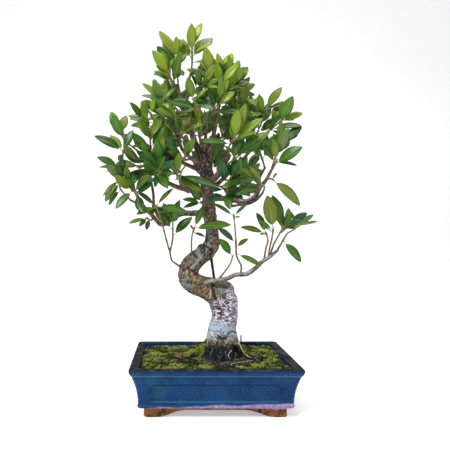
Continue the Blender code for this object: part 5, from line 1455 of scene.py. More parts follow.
# %% Relief and colours of the wood
def bark_relief(points, uv, radius, is_trunk, marks):
    """The height of the bark over the smooth wood, at most a few hundredths of the wood's radius."""
    z = points[:, 2]
    reach = np.minimum(radius, 0.020)
    knobs = layered(points, 0.011, 3, 31) * 0.055 * reach
    fine = layered(points, 0.0028, 2, 41) * np.minimum(0.00045, 0.06 * reach)
    wavy = z + 0.0035 * noise(points, 0.016, 51)
    lines = np.abs(noise(np.stack([points[:, 0] * 0.45, points[:, 1] * 0.45, wavy], axis=1), 0.0040, 61))
    crevices = -smooth_step(0.16 - lines, 0, 0.16) * CREVICE_DEPTH * marks["pale"]
    angle = np.arctan2(points[:, 1], points[:, 0] - FLARE_MIDDLE)
    around = np.stack([angle * 0.030, z * 0.12, 0 * z], axis=1)
    fibres = layered(around, 0.0045, 2, 71) * FIBRE_HEIGHT
    flare = smooth_step(uv[:, 1], *FIBRE_START) * is_trunk
    stubs = smooth_step(layered(points, 0.0060, 2, 97), 0.05, 0.6) * STUB_HEIGHT * marks["knot"]
    drawn = SCAR_HEIGHT * marks["scar"] - CREASE_DEPTH * marks["shaded_crease"] + stubs
    return knobs + fine + crevices + fibres * flare + drawn * is_trunk


def wood_marks(points, normals, uv, is_trunk):
    """Every value that the relief and the colours follow, by name."""
    front = smooth_step(-normals[:, 1], -0.2, 0.2)
    z = points[:, 2]
    flare = smooth_step(uv[:, 1] + GRAFT_FRAY * noise(points, 0.006, 91), *EARTH_START) * is_trunk
    moss = (1 - smooth_step(z, 0.070, 0.080)) * 0.35 + marked(uv, MOSSES)
    return {"pale": scarred_bark(uv, points, is_trunk),
            "shaded_crease": marked(uv, CREASES) * front * is_trunk,
            "scar": marked(uv, SCARS) * front * is_trunk,
            "gold": marked(uv, GOLDS) * is_trunk,
            "lilac": marked(uv, LILACS),
            "blue": marked(uv, BLUES) * front,
            "grey": marked(uv, GREYS) * is_trunk,
            "flare": flare,
            "moss": np.clip(moss, 0, 1),
            "knot": marked(uv, KNOTS)}


def thinned(mesh):
    """The mesh with its flattest edges collapsed until few enough triangles are left."""
    full = in_scene("full_wood", mesh)
    thin = full.modifiers.new("thin", "DECIMATE")
    thin.ratio = WOOD_TRIANGLES / (2 * len(mesh.polygons))
    return applied(full)


def silvered(uv, which, names):
    """The stretches of two higher branches that weathered grey."""
    along = marked(uv, SILVERS)
    return along * ((which == names.index("right_main")) | (which == names.index("left_low")))


def make_wood(material):
    """The melted skin with its relief, and the values that the bark's colours follow."""
    mesh = rough_wood()
    points, normals = points_of(mesh)
    lines, owner = wood_lines()
    nearest = nearest_line(points, lines)
    radius, which = lines[nearest, 3], owner[nearest]
    is_trunk = (which == 0) | (points[:, 2] < ROOTS_BELOW)
    uv = drawn_at(points)
    marks = wood_marks(points, normals, uv, is_trunk)
    points = points + normals * bark_relief(points, uv, radius, is_trunk, marks)[:, None]
    mesh.vertices.foreach_set("co", (points + SHIFT).astype(np.float32).ravel())
    names = ["trunk"] + [name for name, _ in BRANCHES]
    marks["air_root"] = which == names.index("air_root")
    # painted light: only the upward-facing tops of these branches turn silver grey, over their weathered
    # grey stretches
    lit = smooth_step(normals[:, 2], -0.3, 0.3)
    marks["silver_and_top_light"] = (which == names.index("right_low")) * lit + silvered(uv, which, names) * lit
    marks["thin"] = 1 - smooth_step(radius, 0.0030, 0.0075)
    marks["high"] = smooth_step(points[:, 2], 0.27, 0.34)
    for name, values in marks.items():
        set_values(mesh, name, values)
    mesh = thinned(mesh)
    mesh.shade_smooth()
    return show("wood", mesh, [material], ["trunk"])


# %% The bark's material
def plain_bark(shader, broad, middle, fine, grey):
    """Olive-brown bark with gold, lichen, slate, pits and flecks, browner high up and where it is thin."""
    blotch = shader.step(middle, 0.38, 0.64)
    gold_noise = shader.step(shader.clouds(0.013, 3, 0.6), 0.56, 0.68)
    flecks = shader.step(shader.clouds(0.0031, 3, 0.7, (1, 1, 0.8), 0.5), 0.55, 0.63)
    grain = shader.step(shader.clouds(0.0032, 5, 0.75, (1, 1, 0.4), 0.5), 0.38, 0.66)
    shade = shader.times(shader.step(broad, 0.42, 0.62), 0.65)
    high_wood = shader.mix(grain, (0.022, 0.010, 0.012), (0.30, 0.185, 0.135))
    shade = shader.math("MAXIMUM", shade, shader.value("knot"))
    high_wood = shader.mix(shade, high_wood, (0.026, 0.013, 0.018))
    high_wood = shader.coats(high_wood, (flecks, 0.75, (0.46, 0.34, 0.30)))
    return shader.coats(
        shader.mix(blotch, (0.028, 0.019, 0.010), (0.17, 0.125, 0.068)),
        (shader.math("MAXIMUM", gold_noise, shader.value("gold")), 0.75,
         shader.mix(blotch, (0.075, 0.038, 0.011), (0.30, 0.185, 0.070))),
        (shader.step(shader.clouds(0.0075, 4, 0.75), 0.52, 0.62), 0.6,
         shader.mix(fine, (0.16, 0.175, 0.10), (0.40, 0.41, 0.30))),
        (grey, 0.85, shader.mix(blotch, (0.020, 0.029, 0.030), (0.20, 0.225, 0.215))),
        (shader.step(shader.clouds(0.0038, 3, 0.7), 0.45, 0.37), 0.7, (0.020, 0.014, 0.010)),
        (flecks, 0.65, (0.42, 0.37, 0.31)),
        (shader.value("high"), 0.85, high_wood),
        (shader.value("thin"), 0.75, shader.mix(blotch, (0.050, 0.026, 0.020), (0.25, 0.165, 0.115))),
        # silver grey on the tops of some branches: weathered bark, and painted light on their upper sides
        (shader.value("silver_and_top_light"), 0.8, shader.mix(blotch, (0.13, 0.125, 0.135), (0.47, 0.46, 0.49))))


def graft_bark(shader, broad):
    """Pale bark torn open by dark folds and strokes. Its middle is lilac, and its strokes are darker."""
    lilac = shader.value("lilac")
    folds = shader.clouds(0.0050, 2, 0.6, (0.42, 0.42, 1.0), 0.5)
    wrinkle = shader.math("ABSOLUTE", shader.math("SUBTRACT", folds, 0.5))
    wrinkle = shader.math("SUBTRACT", wrinkle, shader.times(lilac, 0.020))
    strokes = shader.step(shader.clouds(0.0036, 3, 0.6, (0.42, 0.42, 1.3), 0.8), 0.50, 0.42)
    strokes = shader.times(strokes, shader.blend(lilac, 0.45, 1.0))
    torn = shader.times(shader.step(wrinkle, 0.020, 0.042), shader.math("SUBTRACT", 1.0, strokes))
    ridges = shader.coats(
        shader.mix(shader.step(broad, 0.35, 0.65), (0.42, 0.42, 0.48), (0.84, 0.86, 0.94)),
        (shader.step(shader.clouds(0.010, 3), 0.5, 0.72), 0.45, (0.46, 0.30, 0.26)),
        (lilac, 0.35, (0.62, 0.52, 0.70)))
    return shader.mix(torn, (0.066, 0.036, 0.048), ridges)


def bark_material():
    """Plain bark under the graft, the earthy flare, scars, creases painted dark as shade, moss and the
    black of the air root.
    """
    shader = Shader("bark", 0.8, 0.25)
    broad = shader.clouds(0.016, 4, 0.6)
    middle = shader.clouds(0.0055, 4, 0.7)
    fine = shader.clouds(0.0016, 3, 0.7)
    # added to a mark before its step, this frays the mark's edge
    ragged = shader.math("SUBTRACT", shader.math("ADD", middle, fine), 1.0)
    grey = shader.step(shader.math("ADD", shader.value("grey"), ragged), 0.35, 0.62)
    colour = plain_bark(shader, broad, middle, fine, grey)
    colour = shader.mix(shader.value("pale"), colour, graft_bark(shader, broad))
    blue = shader.times(shader.value("blue"), shader.step(middle, 0.34, 0.56))
    colour = shader.mix(blue, colour, (0.40, 0.51, 0.64))
    fibre = shader.clouds(0.0032, 4, 0.75, (1, 1, 0.3), 0.6)
    earthy = shader.mix(shader.step(fibre, 0.50, 0.76), (0.004, 0.006, 0.010), (0.115, 0.120, 0.115))
    colour = shader.mix(shader.value("flare"), colour, earthy)
    scar = shader.math("ADD", shader.value("scar"), shader.times(ragged, 1.5))
    shaded_crease = shader.math("ADD", shader.value("shaded_crease"), ragged)
    mossy = shader.math("ADD", shader.value("moss"), shader.math("SUBTRACT", middle, 0.5))
    green = shader.mix(shader.step(fine, 0.35, 0.65), (0.030, 0.045, 0.008), (0.20, 0.23, 0.03))
    colour = shader.coats(colour, (shader.step(scar, 0.40, 0.85), 0.85, (0.31, 0.345, 0.36)),
                          # the creases painted near black: painted shade in their grooves
                          (shader.step(shaded_crease, 0.25, 0.75), 0.9, (0.016, 0.012, 0.012)),
                          (shader.step(mossy, 0.25, 0.6), 0.85, green))
    colour = shader.mix(shader.value("air_root"), colour, (0.012, 0.009, 0.009))
    bump = shader.math("ADD", middle, shader.times(fine, 0.5))
    return shader.finish(colour, shader.blend(middle, 0.65, 0.95), bump, 0.0009)


bark = bark_material()
wood = make_wood(bark)
print("wood:", len(wood.data.polygons), "faces")

# %% [markdown]
# ## Leaves
# A ficus leaf is a stiff, glossy ellipse with a short point, folded a little along a pale midrib, on a
# yellow-green stalk. It is one closed surface: rings of six points run from the stalk to the tip. Five of
# the points make the top, lifted towards the edges, and the sixth is the keel of the midrib below. All
# leaves of a shoot are worked out together as one array.

# %% The form of a leaf
LEAF_ROWS = np.array([0.03, 0.12, 0.27, 0.45, 0.63, 0.79, 0.91, 0.98])
LEAF_FOLD = 0.20
LEAF_CURL = 0.055
STALK_ROWS = np.array([0.0, 0.5, 1.0])
ACROSS = np.array([1.0, 0.5, 0.0, -0.5, -1.0, 0.0])
STALK_ANGLES = np.radians([0, 45, 90, 135, 180, 270])
LEAF_BELLY = 0.0007
LEAF_WAVE = 0.035
QUARTER_LIFT = 0.10
STALK_THICK = 0.00075
STALK_THINS = 0.00015
TIP_THICK = 0.00005
# points in a ring, and the strips between them that are the top
RING = len(ACROSS)
TOP_STRIPS = 4


def leaf_width(share):
    """Half the width at a share of the length: a sine arch, pulled in towards a drawn-out tip."""
    return np.sin(math.pi * share ** 0.94) ** 0.62 * (1 - 0.22 * share ** 6)


def leaf_ways(rows):
    """Each leaf's stem, tip and reach, and its ways ahead, aside and up, square to each other."""
    stem, tip, upward = (np.array([[*row[c]] for row in rows]) for c in range(3))
    along = tip - stem
    reach = np.linalg.norm(along, axis=1)
    along /= reach[:, None]
    side = np.cross(along, upward)
    side /= np.linalg.norm(side, axis=1)[:, None]
    return stem, tip, reach, (along, side, np.cross(side, along))


def from_stems(stem, ways, *distances):
    """Places at distances ahead, aside and up from each stem: each way times its distance, added up."""
    places = stem[:, None, None]
    for way, away in zip(ways, distances):
        places = places + way[:, None, None] * away[..., None]
    return places


def leaf_surfaces(rows, phases):
    """Points (leaf, ring, 6, 3) of several leaves from their stems, tips, upward ways and width shares."""
    stem, tip, reach, ways = leaf_ways(rows)
    stalk = np.minimum(STALK_MOST, STALK_SHARE * reach)[:, None, None]
    length = reach[:, None, None] - stalk
    half = length * np.array([row[3] for row in rows])[:, None, None] / 2

    thick = STALK_THICK - STALK_THINS * STALK_ROWS[None, :, None]
    ahead = stalk * STALK_ROWS[:, None] + 0 * STALK_ANGLES
    stalk_rings = from_stems(stem, ways, ahead, thick * np.cos(STALK_ANGLES), thick * np.sin(STALK_ANGLES))

    share = LEAF_ROWS[None, :, None]
    wide = half * leaf_width(share)
    bow = BLADE_BOW * length * 4 * share * (1 - share)
    wave = LEAF_WAVE * half * np.sin(9 * share + phases[:, None, None]) * np.sign(ACROSS)
    curl = -LEAF_CURL * length * share ** 3 * (1 - share) * 2
    lift = LEAF_FOLD * wide * np.abs(ACROSS) + QUARTER_LIFT * wide * (np.abs(ACROSS) == 0.5)
    belly = np.where(np.arange(RING) == RING - 1, -LEAF_BELLY, 0) * (1 - 0.6 * share)
    up = bow + curl + wave * np.abs(ACROSS) + lift + belly
    blade_rings = from_stems(stem, ways, stalk + length * share + 0 * ACROSS, wide * ACROSS, up)

    side, normal = (way[:, None, None] for way in ways[1:])
    round_way = np.cos(STALK_ANGLES)[:, None] * side + np.sin(STALK_ANGLES)[:, None] * normal
    ends = np.repeat(tip[:, None, None], RING, axis=2) + TIP_THICK * round_way
    return np.concatenate([stalk_rings, blade_rings, ends], axis=1)


def leaf_faces(count):
    """Faces of that many leaves, and each face's part: 0 the stalk, 1 the top, 2 the underside."""
    rings = len(STALK_ROWS) + len(LEAF_ROWS) + 1
    one = grid_faces(rings, RING, True)[:, ::-1]
    ring = np.arange(len(one)) // RING
    strip = np.arange(len(one)) % RING
    part = np.where(ring < len(STALK_ROWS) - 1, 0, np.where(strip < TOP_STRIPS, 1, 2))
    starts = np.arange(count)[:, None] * rings * RING
    corners = np.arange(RING)
    ends = np.stack([starts + corners, starts + (rings - 1) * RING + corners[::-1]])
    quads = (starts[..., None] + one[None]).reshape(-1, 4)
    parts = np.concatenate([np.tile(part, count), np.zeros(count), np.ones(count)])
    return [quads, ends.reshape(-1, RING)], parts


def leaf_uv(count):
    """u runs from the blade's foot to its tip, and v from edge to edge over the midrib at 0.5."""
    u = np.concatenate([0 * STALK_ROWS, LEAF_ROWS, [1.0]])
    v = 0.5 + 0.5 * ACROSS
    one = np.stack([np.repeat(u[:, None], RING, 1), np.repeat(v[None], len(u), 0)], axis=-1)
    return np.tile(one.reshape(-1, 2), (count, 1))


# %% The leaves' materials
SHEEN_GREEN = (0.020, 0.125, 0.060)
OLIVE_GREEN = (0.150, 0.150, 0.020)


def leaf_material(name, dark, light, young, midrib, roughness):
    """Green that varies from leaf to leaf, with a pale midrib, fine side veins and a waxy coat."""
    shader = Shader(name, roughness, 0.28)
    uv = shader.node("ShaderNodeUVMap", uv_map="UVMap").outputs[0]
    split = shader.node("ShaderNodeSeparateXYZ", {"Vector": uv})
    u, v = split.outputs["X"], split.outputs["Y"]
    aside = shader.math("ABSOLUTE", shader.math("SUBTRACT", v, 0.5))
    rib_half = shader.blend(u, 0.052, 0.014)
    rib = shader.step(shader.math("DIVIDE", aside, rib_half), 1.0, 0.35)
    slant = shader.math("SUBTRACT", u, shader.times(aside, 0.55))
    waves = shader.math("SINE", shader.times(slant, 75))
    veins = shader.times(shader.step(waves, 0.72, 1.0), shader.step(aside, 0.46, 0.3))
    patches = shader.step(shader.clouds(0.010, 3, 0.6), 0.4, 0.7)
    colour = shader.mix(shader.value("tint"), dark, light)
    colour = shader.coats(colour, (shader.value("sheen"), 0.8, SHEEN_GREEN))
    colour = shader.mix(shader.value("young"), colour, young)
    colour = shader.coats(colour, (shader.value("olive"), 0.6, OLIVE_GREEN), (patches, 0.35, light),
                          (veins, 0.22, midrib), (rib, 0.65, midrib))
    shader.principled.inputs["Coat Weight"].default_value = 0.12
    shader.principled.inputs["Coat Roughness"].default_value = 0.25
    bump = shader.math("SUBTRACT", shader.times(veins, -0.4), rib)
    return shader.finish(colour, None, bump, 0.00025)


def stalk_material():
    """Yellow-green in two shades."""
    shader = Shader("leaf_stalk", 0.5, 0.4)
    colour = shader.mix(shader.clouds(0.004), (0.20, 0.26, 0.05), (0.42, 0.46, 0.14))
    return shader.finish(colour)


def twig_material():
    """Young wood: brown-grey low down, greener towards the shoot's tip."""
    shader = Shader("twig", 0.7, 0.3)
    rings = shader.clouds(0.0025, 3, 0.6)
    old = shader.mix(shader.step(rings, 0.35, 0.7), (0.065, 0.042, 0.030), (0.24, 0.175, 0.125))
    new = shader.mix(rings, (0.14, 0.13, 0.05), (0.30, 0.28, 0.11))
    colour = shader.mix(shader.value("young"), old, new)
    return shader.finish(colour, None, rings, 0.0004)


LEAF_TOP = leaf_material("leaf_top", dark=(0.008, 0.044, 0.004), light=(0.045, 0.165, 0.008),
                         young=(0.300, 0.400, 0.010), midrib=(0.24, 0.40, 0.06), roughness=0.30)
LEAF_UNDER = leaf_material("leaf_under", dark=(0.035, 0.105, 0.014), light=(0.095, 0.220, 0.028),
                           young=(0.290, 0.430, 0.040), midrib=(0.25, 0.37, 0.09), roughness=0.5)
TWIG = twig_material()
STALK = stalk_material()

# %% [markdown]
# ## The shoots
# Each shoot is one piece: its twig, swollen where leaves leave it and ending in a pointed bud, and its
# leaves.

# %% Build the shoots
TWIG_SIDES = 8
SPUR_SIDES = 6
SPUR_AGE = 0.3
TWIG_SWELL = 1.15
NODE_SWELL = 0.35
NODE_REACH = 0.0022
SHOOT_SEED = 100
BUD_LENGTH = 0.006
# share of the bud's length, and of the twig's radius there
BUD = np.array([(0.12, 1.05), (0.4, 0.85), (0.7, 0.5), (1.0, 0.06)])


def twig_route(route, leaves):
    """The twig's fine route, thicker at each leaf, carried on into the bud at its end."""
    stems = np.array([[*row[0]] for row in leaves]) if leaves else np.zeros((0, 3))
    swollen = route.copy()
    swollen[:, 3] *= TWIG_SWELL
    for stem in stems:
        away = np.linalg.norm(route[:, :3] - stem, axis=1)
        swollen[:, 3] *= 1 + NODE_SWELL * np.exp(-(away / NODE_REACH) ** 2)
    ahead = route[-1, :3] - route[-2, :3]
    ahead /= np.linalg.norm(ahead)
    bud = [[*(route[-1, :3] + ahead * BUD_LENGTH * share), route[-1, 3] * thick] for share, thick in BUD]
    return np.vstack([swollen, bud])


def twig_parts(route, leaves, spurs):
    """The tubes of the twig and its side twigs as one set, and how young their wood is at each point."""
    lines = [twig_route(route, leaves)] + [twig_route(spur, []) for spur in spurs]
    sides = [TWIG_SIDES] + [SPUR_SIDES] * len(spurs)
    ages = [np.linspace(0, 1, len(lines[0])) ** 2]
    ages += [np.linspace(SPUR_AGE, 1, len(line)) for line in lines[1:]]
    points, faces = joined([closed_tube(line, around) for line, around in zip(lines, sides)])
    return points, faces, np.concatenate([np.repeat(age, around) for age, around in zip(ages, sides)])


def leaf_looks(leaves, draw):
    """Each leaf's tint, sheen, olive and youth, and its wave's phase. Young leaves are high and at tips."""
    count = len(leaves)
    height = np.array([row[1].z for row in leaves])
    fresh = np.array([row[4] for row in leaves])
    tint, phases = draw.random(count) ** 1.6, draw.random(count) * 6
    young = np.clip((fresh - 0.75) * 1.2 + (height - 0.42) * 3.2 + 0.8 * (draw.random(count) - 0.6), 0, 1)
    sheen = smooth_step(draw.random(count), 0.7, 1.0) * (height < 0.45)
    olive = smooth_step(draw.random(count), 0.72, 0.95)
    return {"tint": tint, "sheen": sheen, "olive": olive, "young": young}, phases


def make_shoot(name, route, leaves, spurs, index):
    """The twig, its side twigs and all their leaves, with the values that their colours follow."""
    twig_points, twig_faces, twig_young = twig_parts(route, leaves, spurs)
    looks, phases = leaf_looks(leaves, np.random.default_rng(SHOOT_SEED + index))
    grid = leaf_surfaces(leaves, phases)
    leaf_quads, parts = leaf_faces(len(leaves))
    points, faces = joined([(twig_points, twig_faces), (grid.reshape(-1, 3), leaf_quads)])
    twig_slots = np.zeros(sum(len(f) for f in twig_faces))
    mesh = mesh_of("shoot_" + name, points + SHIFT, faces, np.concatenate([twig_slots, parts + 1]))
    for value, per_leaf in looks.items():
        on_twig = twig_young if value == "young" else 0 * twig_young
        set_values(mesh, value, np.concatenate([on_twig, np.repeat(per_leaf, grid.shape[1] * RING)]))
    set_uv(mesh, np.concatenate([np.zeros((len(twig_points), 2)), leaf_uv(len(leaves))]))
    return show("leafy_" + name, mesh, [TWIG, STALK, LEAF_TOP, LEAF_UNDER], ["shoot_" + name])


leaf_count = 0
for index, (name, (route, leaves, spurs)) in enumerate(placed.items()):
    make_shoot(name, route, leaves, spurs, index)
    leaf_count += len(leaves)
print("leaves in all:", leaf_count)

# %% [markdown]
# ## Moss, fine roots and litter
# The front view shows where single roots, a fallen leaf and a lump of old bark lie. A ray from the eye
# through each drawn place finds the wood or the soil that it meets there, so the piece lies on what
# carries it from any side. Moss is thousands of three-sided spikes in small bunches, scattered where the
# moss value is high.

# %% Where a ray meets the tree or the soil
bpy.context.view_layer.update()
GROUND = [BVHTree.FromObject(piece, bpy.context.evaluated_depsgraph_get()) for piece in (wood, soil, pot)]


def laid_on(u, v, lift=0.0):
    """The nearest place that the eye sees at the front view's (u, v), lifted along the surface's normal."""
    eye = EYE + Vector(SHIFT)
    way = (seen(u, v, 0) - EYE).normalized()
    hits = [hit for hit in (tree.ray_cast(eye, way) for tree in GROUND) if hit[0] is not None]
    place, normal, _, _ = min(hits, key=lambda hit: hit[3])
    return np.array(place + normal * lift) - SHIFT


# %% Fine roots
# each root: its places on the front view, its radius in mm and how pale it is
FINE_ROOTS = [
    ([(238.5, 342), (240.4, 346), (243, 351), (246.5, 355), (251, 357.6), (257, 358.4)], 0.9, 1.0),
    ([(231.5, 350.5), (229, 353.5), (228.4, 356.5), (230.5, 359.5)], 0.8, 1.0),
    ([(232, 364), (238, 362.8), (245, 361.4), (253, 360.4), (261, 359.6), (268, 360.4)], 0.65, 0.8),
    ([(235.4, 352.5), (235.8, 356), (233.5, 360)], 0.5, 0.6),
    ([(209, 338), (207.8, 342), (207.4, 346)], 1.0, 0.8),
    ([(170, 351), (175, 349), (181, 347.2), (188, 346), (197, 345.6)], 0.9, 0.25),
    ([(262, 346.5), (270, 349), (279, 352.6)], 0.6, 0.3), ([(221, 352), (219, 356), (220, 361)], 0.6, 0.35),
    ([(213, 350), (210, 355), (211, 360)], 0.6, 0.3), ([(225, 351), (226, 356), (224, 362)], 0.5, 0.4),
    ([(248, 345), (256, 347.5), (264, 351), (271, 356)], 0.6, 0.5)]
STRANDS = 70
STRAND_STEPS = 9
STRAND_SWAY = 0.22
# least and more, at random, of a strand's reach and of its radius
STRAND_REACH = (0.010, 0.018)
STRAND_RADIUS = (0.00028, 0.0004)
FLARE_REACH = 0.030


def drawn_root(places, radius):
    """A root's route over whatever it lies on, thinner towards its end."""
    rows = [[*laid_on(u, v, 0.6 * radius * MM), radius * MM] for u, v in places]
    route = smooth_route(np.array(rows), 0.0025)
    route[:, 3] *= np.linspace(1, 0.45, len(route))
    return route


def strand_routes():
    """Thin strands that leave the flare all round and wander over the soil as a random walk."""
    draw = np.random.default_rng(41)
    angle = draw.random(STRANDS) * 2 * math.pi
    turns = np.cumsum(draw.normal(0, STRAND_SWAY, (STRANDS, STRAND_STEPS)), axis=1)
    length = STRAND_REACH[0] + STRAND_REACH[1] * draw.random((STRANDS, 1))
    reach = FLARE_REACH + np.linspace(0, 1, STRAND_STEPS) * length
    heading = angle[:, None] + turns * 0.5
    x = MOUND_MIDDLE[0] + reach * np.cos(heading)
    y = reach * np.sin(heading)
    radius = STRAND_RADIUS[0] + STRAND_RADIUS[1] * draw.random((STRANDS, 1))
    radius = radius * np.linspace(1, 0.4, STRAND_STEPS)
    return np.stack([x, y, soil_top(x, y) + radius * 0.4, radius], axis=-1), draw.random(STRANDS)


def make_roots():
    """Every root and strand as a closed tube, with how pale it is at each of its points."""
    routes, pale = strand_routes()
    lines = [(drawn_root(places, radius), share) for places, radius, share in FINE_ROOTS]
    lines += list(zip(routes, pale * 0.5))
    parts = [closed_tube(route, 6) for route, _ in lines]
    points, faces = joined(parts)
    mesh = mesh_of("fine_roots", points + SHIFT, faces)
    shares = [np.full(len(part[0]), share) for part, (_, share) in zip(parts, lines)]
    set_values(mesh, "pale", np.concatenate(shares))
    shader = Shader("fine_roots", 0.8, 0.2)
    noise_share = shader.clouds(0.003, 3, 0.6)
    dark = shader.mix(noise_share, (0.010, 0.009, 0.010), (0.060, 0.045, 0.035))
    light = shader.mix(noise_share, (0.34, 0.30, 0.22), (0.72, 0.68, 0.58))
    colour = shader.mix(shader.value("pale"), dark, light)
    return show("fine_roots", mesh, [shader.finish(colour)])


roots = make_roots()
print("fine roots:", len(roots.data.polygons), "faces")

# %% Moss
MOSS_TUFTS = 5600
MOSS_ON_WOOD = 900
SPIKES = 5
SPIKE_LENGTH = (0.0014, 0.0040)
SPIKE_RADIUS = 0.0007
SPIKE_FACES = np.array([(0, 1, 3), (1, 2, 3), (2, 0, 3), (0, 2, 1)])


def spikes(places, ways, lengths, turns):
    """Three-sided pyramids: a triangle round each place, and a tip the length away along its way."""
    helper = np.where(np.abs(ways[:, [2]]) > 0.9, [[1.0, 0, 0]], [[0, 0, 1.0]])
    side = np.cross(ways, helper)
    side /= np.linalg.norm(side, axis=1)[:, None]
    up = np.cross(ways, side)
    angle = turns[:, None] + np.arange(3) * 2 * math.pi / 3
    ring = np.cos(angle)[..., None] * side[:, None] + np.sin(angle)[..., None] * up[:, None]
    tips = places + ways * lengths[:, None]
    points = np.concatenate([places[:, None] + SPIKE_RADIUS * ring, tips[:, None]], axis=1)
    faces = np.arange(len(places))[:, None, None] * 4 + SPIKE_FACES
    return points.reshape(-1, 3), [faces.reshape(-1, 3)]


def off_the_flare(flat):
    """True for places outside a circle round the trunk."""
    return np.hypot((flat[:, 0] - MOUND_MIDDLE[0]) / FLARE_REACH, flat[:, 1] / FLARE_REACH) > 1


def mossy_ground(draw):
    """Random places on the soil, kept where the moss value is above another random number."""
    flat = (draw.random((MOSS_TUFTS * 3, 2)) * 2 - 1) * (SOIL_HALF - 0.0012)
    mossy = moss_at(flat[:, 0], flat[:, 1]) > draw.random(len(flat))
    flat = flat[off_the_flare(flat) & mossy][:MOSS_TUFTS]
    places = np.column_stack([flat, soil_top(flat[:, 0], flat[:, 1])])
    return places, np.tile([0, 0, 1.0], (len(places), 1))


def mossy_wood(draw):
    """Random points of the wood's skin, kept where its moss value is above another random number."""
    points, normals = points_of(wood.data)
    moss = np.empty(len(points), np.float32)
    wood.data.attributes["moss"].data.foreach_get("value", moss)
    chosen = np.flatnonzero((moss > 0.45) & (points[:, 2] > SOIL_EDGE))
    chosen = draw.permutation(chosen)[:MOSS_ON_WOOD]
    return points[chosen] - SHIFT, normals[chosen]


def moss_material():
    """Spikes with painted shade at their foot, from deep green over fresh green to yellow by their tint."""
    shader = Shader("moss", 0.9, 0.1)
    tint, tip = shader.value("tint"), shader.value("tip")
    colour = shader.mix(shader.step(tint, 0.0, 0.5), (0.007, 0.014, 0.008), (0.090, 0.155, 0.034))
    colour = shader.mix(shader.step(tint, 0.5, 1.0), colour, (0.440, 0.450, 0.090))
    # painted shade: each spike turns near black towards its foot, inside its bunch
    return shader.finish(shader.mix(shader.step(tip, -0.4, 0.9), (0.006, 0.008, 0.002), colour))


def make_moss():
    """Bunches of spikes that lean out of the ground's normal at random, tinted in broad patches."""
    draw = np.random.default_rng(23)
    ground, wooden = mossy_ground(draw), mossy_wood(draw)
    places = np.concatenate([ground[0], wooden[0]])
    normals = np.concatenate([ground[1], wooden[1]])
    patches = 0.42 + 0.8 * layered(places, 0.020, 3, 77) + 0.8 * layered(places, 0.0055, 2, 79)
    patches = patches + 0.22 * draw.normal(0, 1, len(places))
    places, normals, patches = (np.repeat(rows, SPIKES, axis=0) for rows in (places, normals, patches))
    ways = normals + draw.normal(0, 0.55, places.shape)
    ways /= np.linalg.norm(ways, axis=1)[:, None]
    low, high = SPIKE_LENGTH
    lengths = low + (high - low) * draw.random(len(places)) * (0.5 + 0.5 * np.clip(patches, 0, 1))
    points, faces = spikes(places - normals * 0.0003, ways, lengths, draw.random(len(places)) * 2 * math.pi)
    mesh = mesh_of("moss", points + SHIFT, faces)
    tint = np.clip(patches + 0.20 * draw.normal(0, 1, len(places)), 0, 1)
    set_values(mesh, "tint", np.repeat(tint, 4))
    # 0 at a spike's foot and 1 at its tip: the painted shade darkens the foot
    set_values(mesh, "tip", np.tile([0, 0, 0, 1.0], len(places)))
    return show("moss", mesh, [moss_material()])


moss = make_moss()
print("moss:", len(moss.data.polygons), "faces")

# %% [markdown]
# ## A fallen leaf, old bark and grit
# A dry leaf is the green leaf's form again, laid flat and curled. The lump is a ball pushed in and out by
# noise. Grit is small eight-faced stones, each stretched and turned at random.

# %% The litter
DRY_LEAF = ((172, 355.4), (181, 359.5))
LUMP = ((179, 352.5), (0.0090, 0.0075, 0.0050))
STUB = [(241.6, 344), (240.9, 339.5), (241.2, 335.2)]
STUB_RADIUS = 0.0013
GRIT = 340
GRIT_SIZE = (0.0005, 0.0015)
STONE_POINTS = np.array([(1, 0, 0), (0, 1, 0), (-1, 0, 0), (0, -1, 0), (0, 0, 1), (0, 0, -1)], float)
STONE_FACES = np.array([(0, 1, 4), (1, 2, 4), (2, 3, 4), (3, 0, 4),
                        (1, 0, 5), (2, 1, 5), (3, 2, 5), (0, 3, 5)])


def make_dry_leaf():
    """One leaf from its stem to its tip on the ground, with its top towards the sky."""
    stem, tip = (Vector(laid_on(u, v, 0.0016)) for u, v in DRY_LEAF)
    grid = leaf_surfaces([(stem, tip, Vector((0.1, -0.35, 1)), 0.50)], np.array([1.0]))
    faces, _ = leaf_faces(1)
    mesh = mesh_of("dry_leaf", grid.reshape(-1, 3) + SHIFT, faces)
    shader = Shader("dry_leaf", 0.75, 0.2)
    patches = shader.clouds(0.004, 3, 0.6)
    colour = shader.mix(shader.step(patches, 0.35, 0.65), (0.075, 0.034, 0.026), (0.230, 0.125, 0.100))
    return show("dry_leaf", mesh, [shader.finish(colour, None, patches, 0.0005)])


def make_lump():
    """The ball's points moved along their normals by layered noise, and the dead stub beside the flare."""
    points, faces = ellipsoid(laid_on(*LUMP[0]), np.array(LUMP[1]), 28, 40)
    mesh = mesh_of("lump", points, faces)
    _, normals = points_of(mesh)
    points = points + normals * (0.0022 * layered(points, 0.0060, 3, 95))[:, None]
    foot = laid_on(*STUB[0])
    rise = np.array([[*seen(u, v, foot[1] / MM), STUB_RADIUS] for u, v in STUB])
    rise[0, :3] = foot - np.array([0, 0, 0.002])
    stub = closed_tube(smooth_route(rise, 0.001), 10)
    points, faces = joined([(points, faces), stub])
    mesh = mesh_of("old_bark", points + SHIFT, faces)
    shader = Shader("old_bark", 0.85, 0.2)
    specks = shader.step(shader.clouds(0.0022, 3, 0.65), 0.56, 0.66)
    colour = shader.mix(shader.clouds(0.004), (0.008, 0.007, 0.009), (0.055, 0.042, 0.040))
    colour = shader.coats(colour, (specks, 0.7, (0.20, 0.23, 0.24)))
    return show("old_bark", mesh, [shader.finish(colour, None, specks, 0.0006)])


